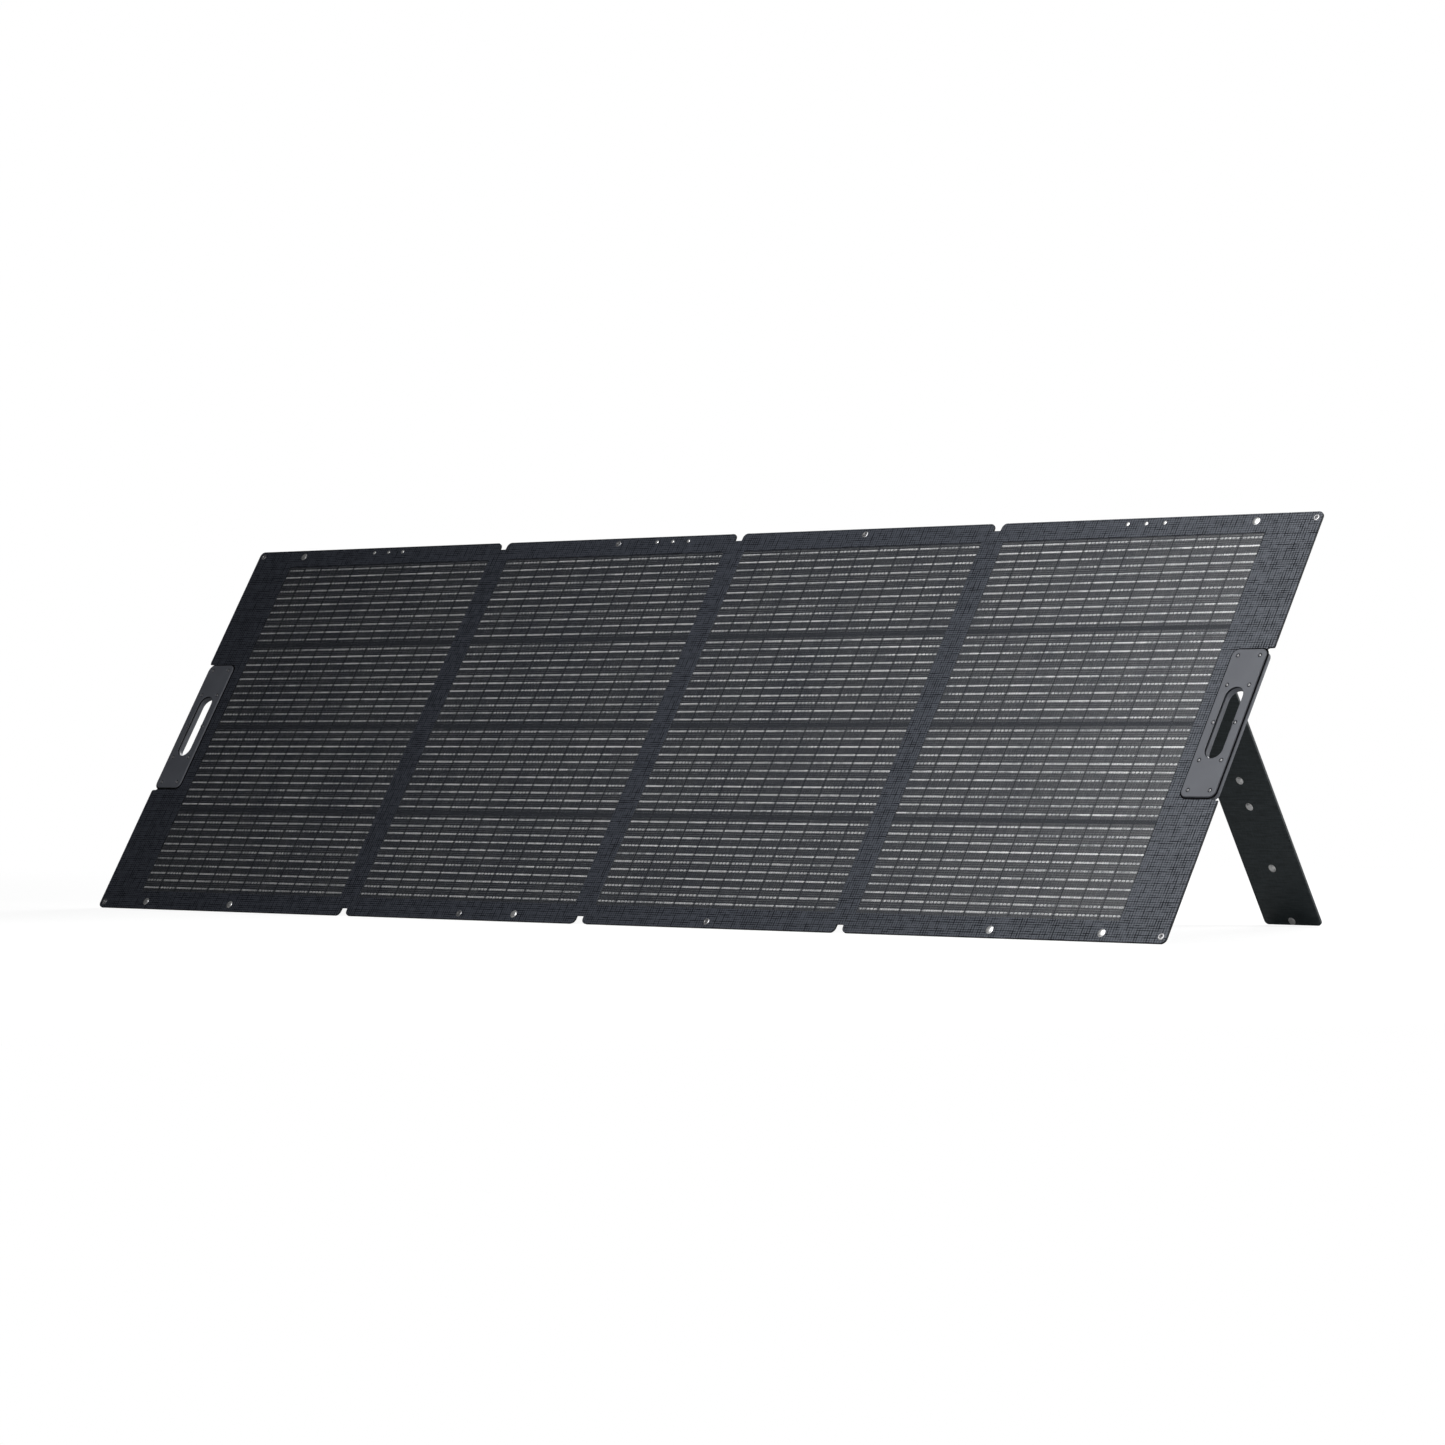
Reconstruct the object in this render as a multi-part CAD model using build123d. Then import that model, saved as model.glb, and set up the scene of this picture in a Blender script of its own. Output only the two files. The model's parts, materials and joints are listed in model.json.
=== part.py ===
from build123d import *
import os
from math import cos, pi, radians, sin

# Folding four-panel camping solar panel, standing on its bottom edge and three flat legs.
# Everything is drawn lying on its back in the panel frame: X along the row of panels, Y up the
# panel from its bottom edge, Z out of the sunny face, which is Z = 0. At the end each piece is
# tilted up about X and moved so that the object stands on Z = 0 with its footprint centred.

# ---- driving dimensions, mm and degrees ----
TILT = 58.9                    # face angle above the ground
HEIGHT = 830.0                 # length up the panel
HALF_WIDTH = 1340.0            # from the middle fold to either end
FOLD_X = 628.0                 # outer folds, either side of the middle fold
LAMINATE = 4.0                 # thickness of a panel
FACE_SHEET = 1.2               # woven face sheet around the cells
BACK_SHEET = 0.6               # back fabric
END_CORNER = 10.0              # corner radius at the two ends

CELL_W, CELL_H, CELL_T = 45.5, 182.0, 0.2          # quarter-cut 182 mm wafers
CELL_COLUMNS, CELL_ROWS = 12, 4
COLUMN_PITCH, ROW_PITCH = 48.3, 190.0
FOLD_STRIP = 25.5              # bare strip between a fold and the nearest cells
RIBBONS_PER_ROW, RIBBON_PITCH = 11, 16.5
RIBBON_W, RIBBON_T = 1.0, 0.2
FILM_T = 0.7                   # clear cover film over the cells
WINDOW_MARGIN = 2.0            # face sheet stops this far from the cells

OUTER_BEND, MIDDLE_BEND = 5.5, 14.0                # fold axis distance from the laminate's middle
NOTCH_HALF, NOTCH_DEPTH, NOTCH_CORNER = 8.7, 15.5, 10.0   # cut-outs at both ends of each fold
SHEET_GAP = 0.5                # the sheets are split this far either side of a fold
CLEAR = 0.2                    # assembly clearance around plates and heads
SNUG = 0.05                    # clearance of a post or barrel in its hole

HANDLE_W, HANDLE_L, HANDLE_CORNER = 72.0, 285.0, 12.5
HANDLE_EDGE = 8.0              # from the panel's end to the handle's outer edge
HANDLE_FRONT, HANDLE_BACK = 3.0, 8.0               # thickness of the front plate and back shell
PLATE_BEVEL, SHELL_BEVEL = 1.2, 3.5
SLOT_W, SLOT_L, COLLAR = 36.0, 137.0, 2.3          # finger slot, and its collar's wall
CUTBACK_L, CUTBACK_DEPTH, CUTBACK_CORNER = 294.0, 14.0, 4.0    # the laminate's end, inside a handle
SCREW_ROWS = (-130.0, -72.5, 0.0, 72.5, 130.0)
SCREW_X = 23.0
SCREW_R, SCREW_HEAD_R, SCREW_LENGTH = 1.4, 2.6, 9.0

EYELET_R, EYELET_BARREL, EYELET_FLANGE, EYELET_LIP = 3.0, 4.2, 6.5, 0.8
EYELET_EDGE = 12.0
CENTRE_EYELET_X = 314.0
SNAP_R, SNAP_DOME, POST_R, STUD_BASE = 7.5, 1.8, 2.0, 0.8
CLOSING_SNAP_X, CLOSING_SNAP_EDGE = 1203.0, 15.0

STAND_X = {"left": -955.0, "middle": -171.0, "right": 964.0}
STAND_PANEL = {"left": 1, "middle": 2, "right": 4}
STAND_W, STAND_T, STAND_CORNER = 125.0, 5.5, 8.0
STAND_HINGE_Y = 810.0
STAND_GAP = 3.0                # between the panel's back and a stowed leg
STAND_OPEN = 62.2              # opening angle of a leg in use
LEG_SNAPS = (9.0, 120.0, 248.0, 302.0)             # from the foot along the leg's centre line
RIVET_Y, RIVET_PITCH, RIVET_R, RIVET_DOME, RIVET_POST_R = 818.5, 41.0, 4.0, 1.2, 1.6
FLAP_T = 1.2

BOX_X, BOX_Y = 500.0, 690.0    # junction box on the third panel's back
BOX_W, BOX_H, BOX_T, BOX_WALL, BOX_CORNER = 118.0, 78.0, 17.0, 2.5, 8.0
LID_T, LID_SCREW_INSET = 2.6, 10.0
POCKET_X, POCKET_Y = 440.0, 150.0
POCKET_W, POCKET_H, POCKET_T = 300.0, 220.0, 11.0
ZIP_Y, ZIP_W, ZIP_H, ZIP_T = 212.0, 262.0, 24.0, 1.0
SLIDER_W, SLIDER_H, SLIDER_T, SLIDER_TRAVEL = 9.0, 13.0, 3.6, 230.0
CABLE_R, CABLE_X = 3.0, 14.0   # output leads, and how far each leaves the box from its middle
CONNECTOR_R, CONNECTOR_L = 8.0, 46.0

# ---- worked out from the driving dimensions ----
BACK = -LAMINATE
OUTER_HALF = OUTER_BEND * pi / 2                   # half the flexible strip of an outer fold
MIDDLE_HALF = MIDDLE_BEND * pi / 2                 # and of the middle fold
LEAD_Y, LEAD_Z = BOX_Y - BOX_H / 2, BACK - BOX_T / 2   # where the leads leave the box
STAND_AXIS_Z = BACK - STAND_GAP - STAND_T / 2
LIFT = LAMINATE * cos(radians(TILT))               # the back's bottom edge rests on the ground
HINGE_HEIGHT = STAND_HINGE_Y * sin(radians(TILT)) + STAND_AXIS_Z * cos(radians(TILT)) + LIFT
HINGE_BACK = STAND_HINGE_Y * cos(radians(TILT)) - STAND_AXIS_Z * sin(radians(TILT))
LEG_LEAN = STAND_OPEN - (90 - TILT)                # of a leg in use, from the vertical
LEG_LENGTH = (HINGE_HEIGHT - STAND_T / 2 * sin(radians(LEG_LEAN))) / cos(radians(LEG_LEAN))
FOOT_BACK = HINGE_BACK + LEG_LENGTH * sin(radians(LEG_LEAN)) + STAND_T / 2 * cos(radians(LEG_LEAN))

FOLDS = (-FOLD_X, 0.0, FOLD_X)
FOLD_HALVES = (OUTER_HALF, MIDDLE_HALF, OUTER_HALF)
ARRAY_W = (CELL_COLUMNS - 1) * COLUMN_PITCH + CELL_W
ARRAY_H = (CELL_ROWS - 1) * ROW_PITCH + CELL_H

os.makedirs("parts", exist_ok=True)


def save(name, pieces, deployed=False):
    """Tilts a piece, or a list of separate solids, into place and writes it as one node."""
    shape = Compound(list(pieces)) if isinstance(pieces, (list, tuple)) else pieces
    if deployed:
        hinge = Pos(0, STAND_HINGE_Y, STAND_AXIS_Z)
        shape = hinge * Rot(STAND_OPEN, 0, 0) * Pos(0, -STAND_HINGE_Y, -STAND_AXIS_Z) * shape
    placed = Pos(0, -FOOT_BACK / 2, LIFT) * Rot(TILT, 0, 0) * shape
    export_step(placed, f"parts/{name}.step")


def slab(sketch, low, high):
    """A flat sheet of the given outline between two heights."""
    return Pos(0, 0, low) * extrude(sketch, high - low)


def disc(x, y, radius, low, high):
    """A short upright cylinder."""
    return slab(Pos(x, y) * Circle(radius), low, high)


def fold_notch():
    """The cut-out at the top end of a fold, with flared corners."""
    flank = NOTCH_HALF + NOTCH_CORNER
    throat = Pos(0, -NOTCH_DEPTH / 2) * Rectangle(2 * NOTCH_HALF, NOTCH_DEPTH)
    mouth = Pos(0, -NOTCH_CORNER / 2) * Rectangle(2 * flank, NOTCH_CORNER)
    for side in (-1, 1):
        mouth -= Pos(side * flank, -NOTCH_CORNER) * Circle(NOTCH_CORNER)
    return throat + mouth


def panel_edges(panel, board):
    """X of a panel's left and right edge: of its stiff board, or of its sheets."""
    edges = []
    for side, fold in ((1, panel - 2), (-1, panel - 1)):
        if 0 <= fold <= 2:
            inset = FOLD_HALVES[fold] + CLEAR if board else SHEET_GAP
            edges.append(FOLDS[fold] + side * inset)
        else:
            edges.append(-side * HALF_WIDTH)
    return edges


def outline(panel, board):
    """A panel's outline: end corners, fold notches, and the cut-back and slot for a handle."""
    left, right = panel_edges(panel, board)
    shape = Pos((left + right) / 2, HEIGHT / 2) * Rectangle(right - left, HEIGHT)
    if panel in (1, 4):
        side = -1 if panel == 1 else 1
        corners = shape.vertices().group_by(Axis.X)[0 if panel == 1 else -1]
        shape = fillet(corners, END_CORNER)
        end = side * HALF_WIDTH
        cut = Pos(end, HEIGHT / 2) * RectangleRounded(2 * CUTBACK_DEPTH, CUTBACK_L, CUTBACK_CORNER)
        shape = shape - cut - finger_slot(side, COLLAR + CLEAR)
    for fold in FOLDS:
        shape -= Pos(fold, HEIGHT) * fold_notch()
        shape -= Pos(fold, 0) * Rot(0, 0, 180) * fold_notch()
    return shape


def handle_x(side):
    """X of the middle of a handle; side is -1 for the left end and 1 for the right end."""
    return side * (HALF_WIDTH - HANDLE_EDGE - HANDLE_W / 2)


def finger_slot(side, grow=0.0):
    """The slot through a handle, or that slot grown all round."""
    slot = SlotOverall(SLOT_L + 2 * grow, SLOT_W + 2 * grow)
    return Pos(handle_x(side), HEIGHT / 2) * Rot(0, 0, 90) * slot


def eyelets_of(panel):
    """Where a panel's eyelets are."""
    corner = HALF_WIDTH - EYELET_EDGE
    x = {1: -corner, 2: -CENTRE_EYELET_X, 3: CENTRE_EYELET_X, 4: corner}[panel]
    return [(x, EYELET_EDGE), (x, HEIGHT - EYELET_EDGE)]


def snaps_of(panel):
    """Where a panel's snap caps are: closing snaps on the outer panels, leg snaps below stands."""
    places = []
    if panel in (1, 4):
        x = -CLOSING_SNAP_X if panel == 1 else CLOSING_SNAP_X
        places += [(x, CLOSING_SNAP_EDGE), (x, HEIGHT - CLOSING_SNAP_EDGE)]
    for side, on_panel in STAND_PANEL.items():
        if on_panel == panel:
            places.append((STAND_X[side], STAND_HINGE_Y - LEG_LENGTH + LEG_SNAPS[0]))
    return places


def rivets_of(panel):
    """Where the three rivets of a panel's stand are."""
    places = []
    for side, on_panel in STAND_PANEL.items():
        if on_panel == panel:
            places += [(STAND_X[side] + i * RIVET_PITCH, RIVET_Y) for i in (-1, 0, 1)]
    return places


def handle_screws_of(panel):
    """Where the screws of a panel's handle are."""
    if panel not in (1, 4):
        return []
    middle = handle_x(-1 if panel == 1 else 1)
    return [(middle + s * SCREW_X, HEIGHT / 2 + y) for y in SCREW_ROWS for s in (-1, 1)]


def drilled(sketch, panel):
    """Makes the fasteners' holes in a sheet of a panel."""
    for places, radius in (
        (eyelets_of(panel), EYELET_BARREL + SNUG),
        (snaps_of(panel), POST_R + SNUG),
        (rivets_of(panel), RIVET_POST_R + SNUG),
        (handle_screws_of(panel), SCREW_R + CLEAR),
    ):
        for x, y in places:
            sketch -= Pos(x, y) * Circle(radius)
    return sketch


def array_middle(panel):
    """X of the middle of a panel's cells."""
    fold_x, side = {1: (-FOLD_X, -1), 2: (0, -1), 3: (0, 1), 4: (FOLD_X, 1)}[panel]
    return fold_x + side * (FOLD_STRIP + ARRAY_W / 2)


def make_panel(panel):
    """One stiff panel: face sheet, cover film, cells, ribbons, board and back fabric."""
    middle = array_middle(panel)
    centre = Pos(middle, HEIGHT / 2)
    window = Rectangle(ARRAY_W + 2 * WINDOW_MARGIN, ARRAY_H + 2 * WINDOW_MARGIN)
    sheet = drilled(outline(panel, board=False), panel)
    board = drilled(outline(panel, board=True), panel)
    save(f"panel_{panel}_face_sheet", slab(sheet - centre * window, -FACE_SHEET, 0))
    save(f"panel_{panel}_back_fabric", slab(sheet, BACK, BACK + BACK_SHEET))
    save(f"panel_{panel}_board", slab(board, BACK + BACK_SHEET, -FACE_SHEET))

    film = centre * offset(window, -CLEAR)
    film_low = -FACE_SHEET + CELL_T + RIBBON_T
    save(f"panel_{panel}_cover_film", slab(film, film_low, film_low + FILM_T))

    cells = []
    ribbons = []
    cell_z = -FACE_SHEET + CELL_T / 2
    ribbon_z = -FACE_SHEET + CELL_T + RIBBON_T / 2
    for row in range(CELL_ROWS):
        row_y = HEIGHT / 2 + (row - (CELL_ROWS - 1) / 2) * ROW_PITCH
        for column in range(CELL_COLUMNS):
            x = middle + (column - (CELL_COLUMNS - 1) / 2) * COLUMN_PITCH
            cells.append(Pos(x, row_y, cell_z) * Box(CELL_W, CELL_H, CELL_T))
        for line in range(RIBBONS_PER_ROW):
            y = row_y + (line - (RIBBONS_PER_ROW - 1) / 2) * RIBBON_PITCH
            ribbons.append(Pos(middle, y, ribbon_z) * Box(ARRAY_W, RIBBON_W, RIBBON_T))
    save(f"panel_{panel}_cells", cells)
    save(f"panel_{panel}_ribbons", ribbons)


def make_eyelets(panel):
    """Rolled eyelets: a barrel through the laminate with a flange on each side."""
    rings = []
    for x, y in eyelets_of(panel):
        ring = disc(x, y, EYELET_BARREL, BACK - EYELET_LIP, EYELET_LIP)
        ring += disc(x, y, EYELET_FLANGE, 0, EYELET_LIP)
        ring += disc(x, y, EYELET_FLANGE, BACK - EYELET_LIP, BACK)
        ring -= disc(x, y, EYELET_R, BACK - 1, 1)
        rings.append(ring)
    save(f"panel_{panel}_eyelets", rings)


def stud(x, y, radius, dome, post, face, back):
    """A snap or rivet: domed cap on the front, post through the sheets, thin base behind."""
    sphere_r = (radius**2 + dome**2) / (2 * dome)
    cap = Pos(x, y, face + dome - sphere_r) * Sphere(sphere_r)
    cap &= disc(x, y, radius, face, face + dome)
    cap += disc(x, y, post, back - STUD_BASE, face + dome / 2)
    return cap + disc(x, y, radius - 0.8, back - STUD_BASE, back)


def make_snaps(panel):
    """The snap caps along a panel's top and bottom edges."""
    caps = [stud(x, y, SNAP_R, SNAP_DOME, POST_R, 0, BACK) for x, y in snaps_of(panel)]
    save(f"panel_{panel}_snaps", caps)


def make_handle(side):
    """A carrying handle: front plate, back shell with a collar in the slot, and ten screws."""
    name = "left" if side < 0 else "right"
    panel = 1 if side < 0 else 4
    middle = Pos(handle_x(side), HEIGHT / 2)
    face = middle * RectangleRounded(HANDLE_W, HANDLE_L, HANDLE_CORNER)
    front = slab(face, 0, HANDLE_FRONT)
    front = chamfer(front.faces().sort_by(Axis.Z)[-1].edges(), PLATE_BEVEL)
    front -= slab(finger_slot(side), -1, HANDLE_FRONT + 1)
    back = slab(face, BACK - HANDLE_BACK, BACK)
    back = chamfer(back.faces().sort_by(Axis.Z)[0].edges(), SHELL_BEVEL)
    back += slab(finger_slot(side, COLLAR), BACK - 1, -CLEAR)
    rim_w = CUTBACK_DEPTH - HANDLE_EDGE - 1
    rim_x = side * (HALF_WIDTH - HANDLE_EDGE - rim_w / 2)
    rim = Pos(rim_x, HEIGHT / 2) * Rectangle(rim_w, HANDLE_L - 2 * HANDLE_CORNER)
    back += slab(rim, BACK - 1, -CLEAR)
    back -= slab(finger_slot(side), BACK - HANDLE_BACK - 1, 1)

    screws = []
    for x, y in handle_screws_of(panel):
        seat = HANDLE_FRONT - 1.6
        front -= disc(x, y, SCREW_HEAD_R + CLEAR, seat, HANDLE_FRONT + 1)
        front -= disc(x, y, SCREW_R + CLEAR, -1, seat + 1)
        back -= disc(x, y, SCREW_R + SNUG, seat - SCREW_LENGTH - CLEAR, BACK + 1)
        screw = disc(x, y, SCREW_HEAD_R, seat, HANDLE_FRONT - 0.1)
        screw += disc(x, y, SCREW_R, seat - SCREW_LENGTH, seat + 0.1)
        socket = Pos(x, y) * RegularPolygon(SCREW_R, 6)
        screws.append(screw - slab(socket, seat + 0.6, HANDLE_FRONT))
    save(f"{name}_handle_front_plate", front)
    save(f"{name}_handle_back_shell", back)
    save(f"{name}_handle_screws", screws)


def make_stand(side):
    """A flat leg hinged under three rivets on a panel's back, with four snap caps along it."""
    x = STAND_X[side]
    panel = STAND_PANEL[side]
    deployed = side != "middle"
    foot = STAND_HINGE_Y - LEG_LENGTH
    blade = Pos(x, STAND_HINGE_Y - LEG_LENGTH / 2) * Rectangle(STAND_W, LEG_LENGTH)
    blade = fillet(blade.vertices().group_by(Axis.Y)[0], STAND_CORNER)
    low = STAND_AXIS_Z - STAND_T / 2
    leg = slab(blade, low, low + STAND_T)
    barrel = Pos(x, STAND_HINGE_Y, STAND_AXIS_Z) * Rot(0, 90, 0) * Cylinder(STAND_T / 2, STAND_W)
    leg += barrel
    snaps = []
    for along in LEG_SNAPS:
        leg -= disc(x, foot + along, POST_R + SNUG, low - 1, low + STAND_T + 1)
        snaps.append(stud(x, foot + along, SNAP_R, SNAP_DOME, POST_R, low + STAND_T, low))
    save(f"stand_{side}_board", leg, deployed)
    save(f"stand_{side}_snaps", snaps, deployed)

    flap_low, flap_high = STAND_HINGE_Y + 1.5, HEIGHT - 2.5
    flap = Pos(x, (flap_low + flap_high) / 2) * RectangleRounded(STAND_W, flap_high - flap_low, 3)
    rivets = []
    for rivet_x, rivet_y in rivets_of(panel):
        flap -= Pos(rivet_x, rivet_y) * Circle(RIVET_POST_R + SNUG)
        rivets.append(stud(rivet_x, rivet_y, RIVET_R, RIVET_DOME, RIVET_POST_R, 0, BACK - FLAP_T))
    save(f"stand_{side}_hinge_flap", slab(flap, BACK - FLAP_T, BACK))
    save(f"stand_{side}_rivets", rivets)


def make_junction_box():
    """A shallow box behind the third panel: tray, lid, four screws, terminals, two glands."""
    rear = BACK - BOX_T
    floor = BACK - BOX_WALL

    def box_outline(inset):
        corner = BOX_CORNER - inset
        return Pos(BOX_X, BOX_Y) * RectangleRounded(BOX_W - 2 * inset, BOX_H - 2 * inset, corner)

    tray = slab(box_outline(0), rear, BACK) - slab(box_outline(BOX_WALL), rear - 1, floor)
    lid = slab(box_outline(0), rear - LID_T, rear)
    lid = chamfer(lid.faces().sort_by(Axis.Z)[0].edges(), LID_T / 2)
    lip = box_outline(BOX_WALL + CLEAR) - box_outline(BOX_WALL + CLEAR + 1.5)
    lid += slab(lip, rear - 0.5, rear + 1.5)

    post_r, head_r, thread_r = 4.0, 2.6, 1.2
    seat = rear - LID_T / 2
    screws = []
    for i in (-1, 1):
        for j in (-1, 1):
            x = BOX_X + i * (BOX_W / 2 - LID_SCREW_INSET)
            y = BOX_Y + j * (BOX_H / 2 - LID_SCREW_INSET)
            tray += disc(x, y, post_r, rear, floor + 0.5)
            tray -= disc(x, y, thread_r + SNUG, rear - 1, rear + 8)
            lid -= disc(x, y, post_r + CLEAR, rear, rear + 2)
            lid -= disc(x, y, thread_r + CLEAR, rear - LID_T - 1, rear + 1)
            lid -= disc(x, y, head_r + CLEAR, rear - LID_T - 1, seat)
            screw = disc(x, y, head_r, rear - LID_T + 0.1, seat) + disc(x, y, thread_r, seat - 0.1, rear + 7)
            screws.append(screw - slab(Pos(x, y) * RegularPolygon(1.3, 6), rear - LID_T, seat - 0.4))
    save("junction_box_screws", screws)

    terminals = []
    for i in range(4):
        x = BOX_X + (i - 1.5) * 18
        block = Pos(x, BOX_Y + 14, floor - 3) * Box(11, 14, 6)
        terminals.append(block - disc(x, BOX_Y + 17, 1.5, floor - 7, floor - 1))
    save("junction_box_terminals", terminals)

    nut_r, nut_l, neck_r = 6.6, 12.0, 4.4
    glands = []
    for side in (-1, 1):
        entry = Pos(BOX_X + side * CABLE_X, LEAD_Y, LEAD_Z) * Rot(90, 0, 0)
        nut = entry * Pos(0, 0, nut_l / 2) * extrude(RegularPolygon(nut_r, 6), nut_l / 2, both=True)
        glands.append(nut + entry * Cylinder(neck_r, 8) - entry * Cylinder(CABLE_R + SNUG, 60))
        tray -= entry * Cylinder(neck_r + SNUG, 10)
    save("cable_glands", glands)
    save("junction_box_tray", tray)
    save("junction_box_lid", lid)


def make_leads():
    """Two output leads from the glands down to a mating socket and plug."""
    leads = []
    for name, side, sway, drop in (("socket", -1, -46, 205), ("plug", 1, 38, 250)):
        start = (BOX_X + side * CABLE_X, LEAD_Y + 10)
        straight = (start[0], LEAD_Y - 20)
        end = (start[0] + sway, LEAD_Y - drop)
        path = Line(start, straight) + Spline(straight, end, tangents=((0, -1), (0, -1)))
        section = Plane(origin=(*start, LEAD_Z), z_dir=(0, -1, 0)) * Circle(CABLE_R)
        leads.append(sweep(section, path=Pos(0, 0, LEAD_Z) * path))

        half = CONNECTOR_L / 2
        body = Cylinder(CONNECTOR_R - 1.5, CONNECTOR_L)
        if name == "socket":
            body += Pos(0, 0, half - 11) * Cylinder(CONNECTOR_R, 14)
            body -= Pos(0, 0, half) * Cylinder(4.2, 36)
        else:
            body += Pos(0, 0, 15 - half) * Cylinder(CONNECTOR_R, 20)
            body += Pos(0, 0, half + 7) * Cylinder(4.0, 16)
        body -= Pos(0, 0, -half) * Cylinder(CABLE_R + SNUG, 10)
        turn = Pos(end[0], end[1] - half + 4.9, LEAD_Z) * Rot(90, 0, 0)
        save(f"connector_{name}", turn * body)
    save("output_leads", leads)


def make_pocket():
    """The cable pocket low on the third panel's back, with its zip tape and sliding puller."""
    front = BACK - POCKET_T
    bag = slab(Pos(POCKET_X, POCKET_Y) * RectangleRounded(POCKET_W, POCKET_H, 16), front, BACK)
    bag = chamfer(bag.faces().sort_by(Axis.Z)[0].edges(), 6)
    save("cable_pocket", bag)
    tape = slab(Pos(POCKET_X, ZIP_Y) * RectangleRounded(ZIP_W, ZIP_H, 3), front - ZIP_T, front)
    save("pocket_zip_tape", tape)
    x = POCKET_X + SLIDER_TRAVEL / 2
    low = front - ZIP_T - 0.1 - SLIDER_T
    slider = Pos(x, ZIP_Y, low + SLIDER_T / 2) * Box(SLIDER_W, SLIDER_H, SLIDER_T)
    slider = chamfer(slider.edges().filter_by(Axis.Z), 2)
    pull = Pos(x, ZIP_Y - 15) * RectangleRounded(7, 32, 3) - Pos(x, ZIP_Y - 26) * Circle(1.8)
    save("pocket_zip_slider", slider + slab(pull, low - 0.8, low + 0.4))


for number in (1, 2, 3, 4):
    make_panel(number)
    make_eyelets(number)
    if snaps_of(number):
        make_snaps(number)
for end in (-1, 1):
    make_handle(end)
for stand in STAND_X:
    make_stand(stand)
make_junction_box()
make_leads()
make_pocket()
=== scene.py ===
import json
import math
import random

import bmesh
import bpy
from mathutils import Matrix, Vector


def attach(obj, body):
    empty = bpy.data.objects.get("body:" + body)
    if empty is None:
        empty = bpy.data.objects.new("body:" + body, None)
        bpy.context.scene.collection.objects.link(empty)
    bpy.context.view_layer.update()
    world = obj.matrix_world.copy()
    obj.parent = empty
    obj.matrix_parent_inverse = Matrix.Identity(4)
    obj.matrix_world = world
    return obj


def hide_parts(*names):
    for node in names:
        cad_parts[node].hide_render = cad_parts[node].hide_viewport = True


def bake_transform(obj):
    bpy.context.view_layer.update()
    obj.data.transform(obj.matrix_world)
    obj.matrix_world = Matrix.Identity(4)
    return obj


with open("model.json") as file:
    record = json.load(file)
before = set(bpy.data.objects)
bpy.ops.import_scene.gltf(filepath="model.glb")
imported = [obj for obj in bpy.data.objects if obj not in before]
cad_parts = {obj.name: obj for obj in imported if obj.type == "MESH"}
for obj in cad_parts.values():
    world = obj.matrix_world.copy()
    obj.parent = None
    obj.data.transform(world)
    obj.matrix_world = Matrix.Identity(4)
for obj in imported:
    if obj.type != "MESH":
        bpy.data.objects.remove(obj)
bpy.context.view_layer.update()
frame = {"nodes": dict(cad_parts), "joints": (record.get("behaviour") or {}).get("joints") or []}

# Looks of a folding solar panel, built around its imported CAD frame.
# Every piece is drawn flat in the panel frame: X along the row of panels, Y up the panel from its
# bottom edge and Z out of the sunny face, in metres, and FLAT then tilts it into the row frame.

MM = 0.001
JOINTS = {j["name"]: j for j in frame["joints"]}
rng = random.Random(7)

# ---------------------------------------------------------------- the panel frame
UP = Vector(JOINTS["fold_middle"]["axis"])
NORMAL = Vector((1, 0, 0)).cross(UP)


def reach(node, direction):
    """Lowest and highest coordinate of a CAD node along a direction."""
    along = [v.co.dot(direction) for v in frame["nodes"][node].data.vertices]
    return min(along), max(along)


FOOT, TOP = reach("panel_2_board", UP)
FACE = reach("panel_2_face_sheet", NORMAL)[1]
REAR = reach("panel_2_back_fabric", NORMAL)[0] - FACE
SHIFT = [up * FOOT + out * FACE for up, out in zip(UP, NORMAL)]
FLAT = Matrix([*zip((1, 0, 0), UP, NORMAL, SHIFT), (0, 0, 0, 1)])
TO_FLAT = FLAT.inverted()
HEIGHT = TOP - FOOT


def flat_box(node, into=TO_FLAT):
    """Lowest and highest corner of a CAD node in the panel frame, or in a leg's."""
    points = [into @ v.co for v in frame["nodes"][node].data.vertices]
    return [Vector([pick(p[i] for p in points) for i in range(3)]) for pick in (min, max)]


def flat_rect(node):
    """Middle and size of a CAD node as seen from the front."""
    low, high = flat_box(node)
    return ((low.x + high.x) / 2, (low.y + high.y) / 2), (high.x - low.x, high.y - low.y)


FOLD_X = (TO_FLAT @ Vector(JOINTS["fold_right"]["pos_m"])).x
BOARD_BACK, BOARD_TOP = (corner.z for corner in flat_box("panel_2_board"))
OUTER_HALF = FOLD_X - flat_box("panel_3_board")[1].x
MIDDLE_HALF = flat_box("panel_3_board")[0].x
STANDS = {"left": "panel_1", "middle": "panel_2", "right": "panel_4"}


def leg_matrix(side):
    """From the panel frame with the leg stowed to the row frame with the leg as it rests, with
    the middle of the hinge and the angle it is open."""
    joint = JOINTS[f"stand_{side}_hinge"]
    hinge = TO_FLAT @ Vector(joint["pos_m"])
    opened = math.radians(joint["range_deg"][1])
    there = Matrix.Translation(hinge)
    return FLAT @ there @ Matrix.Rotation(opened, 4, "X") @ there.inverted(), hinge, opened


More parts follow.
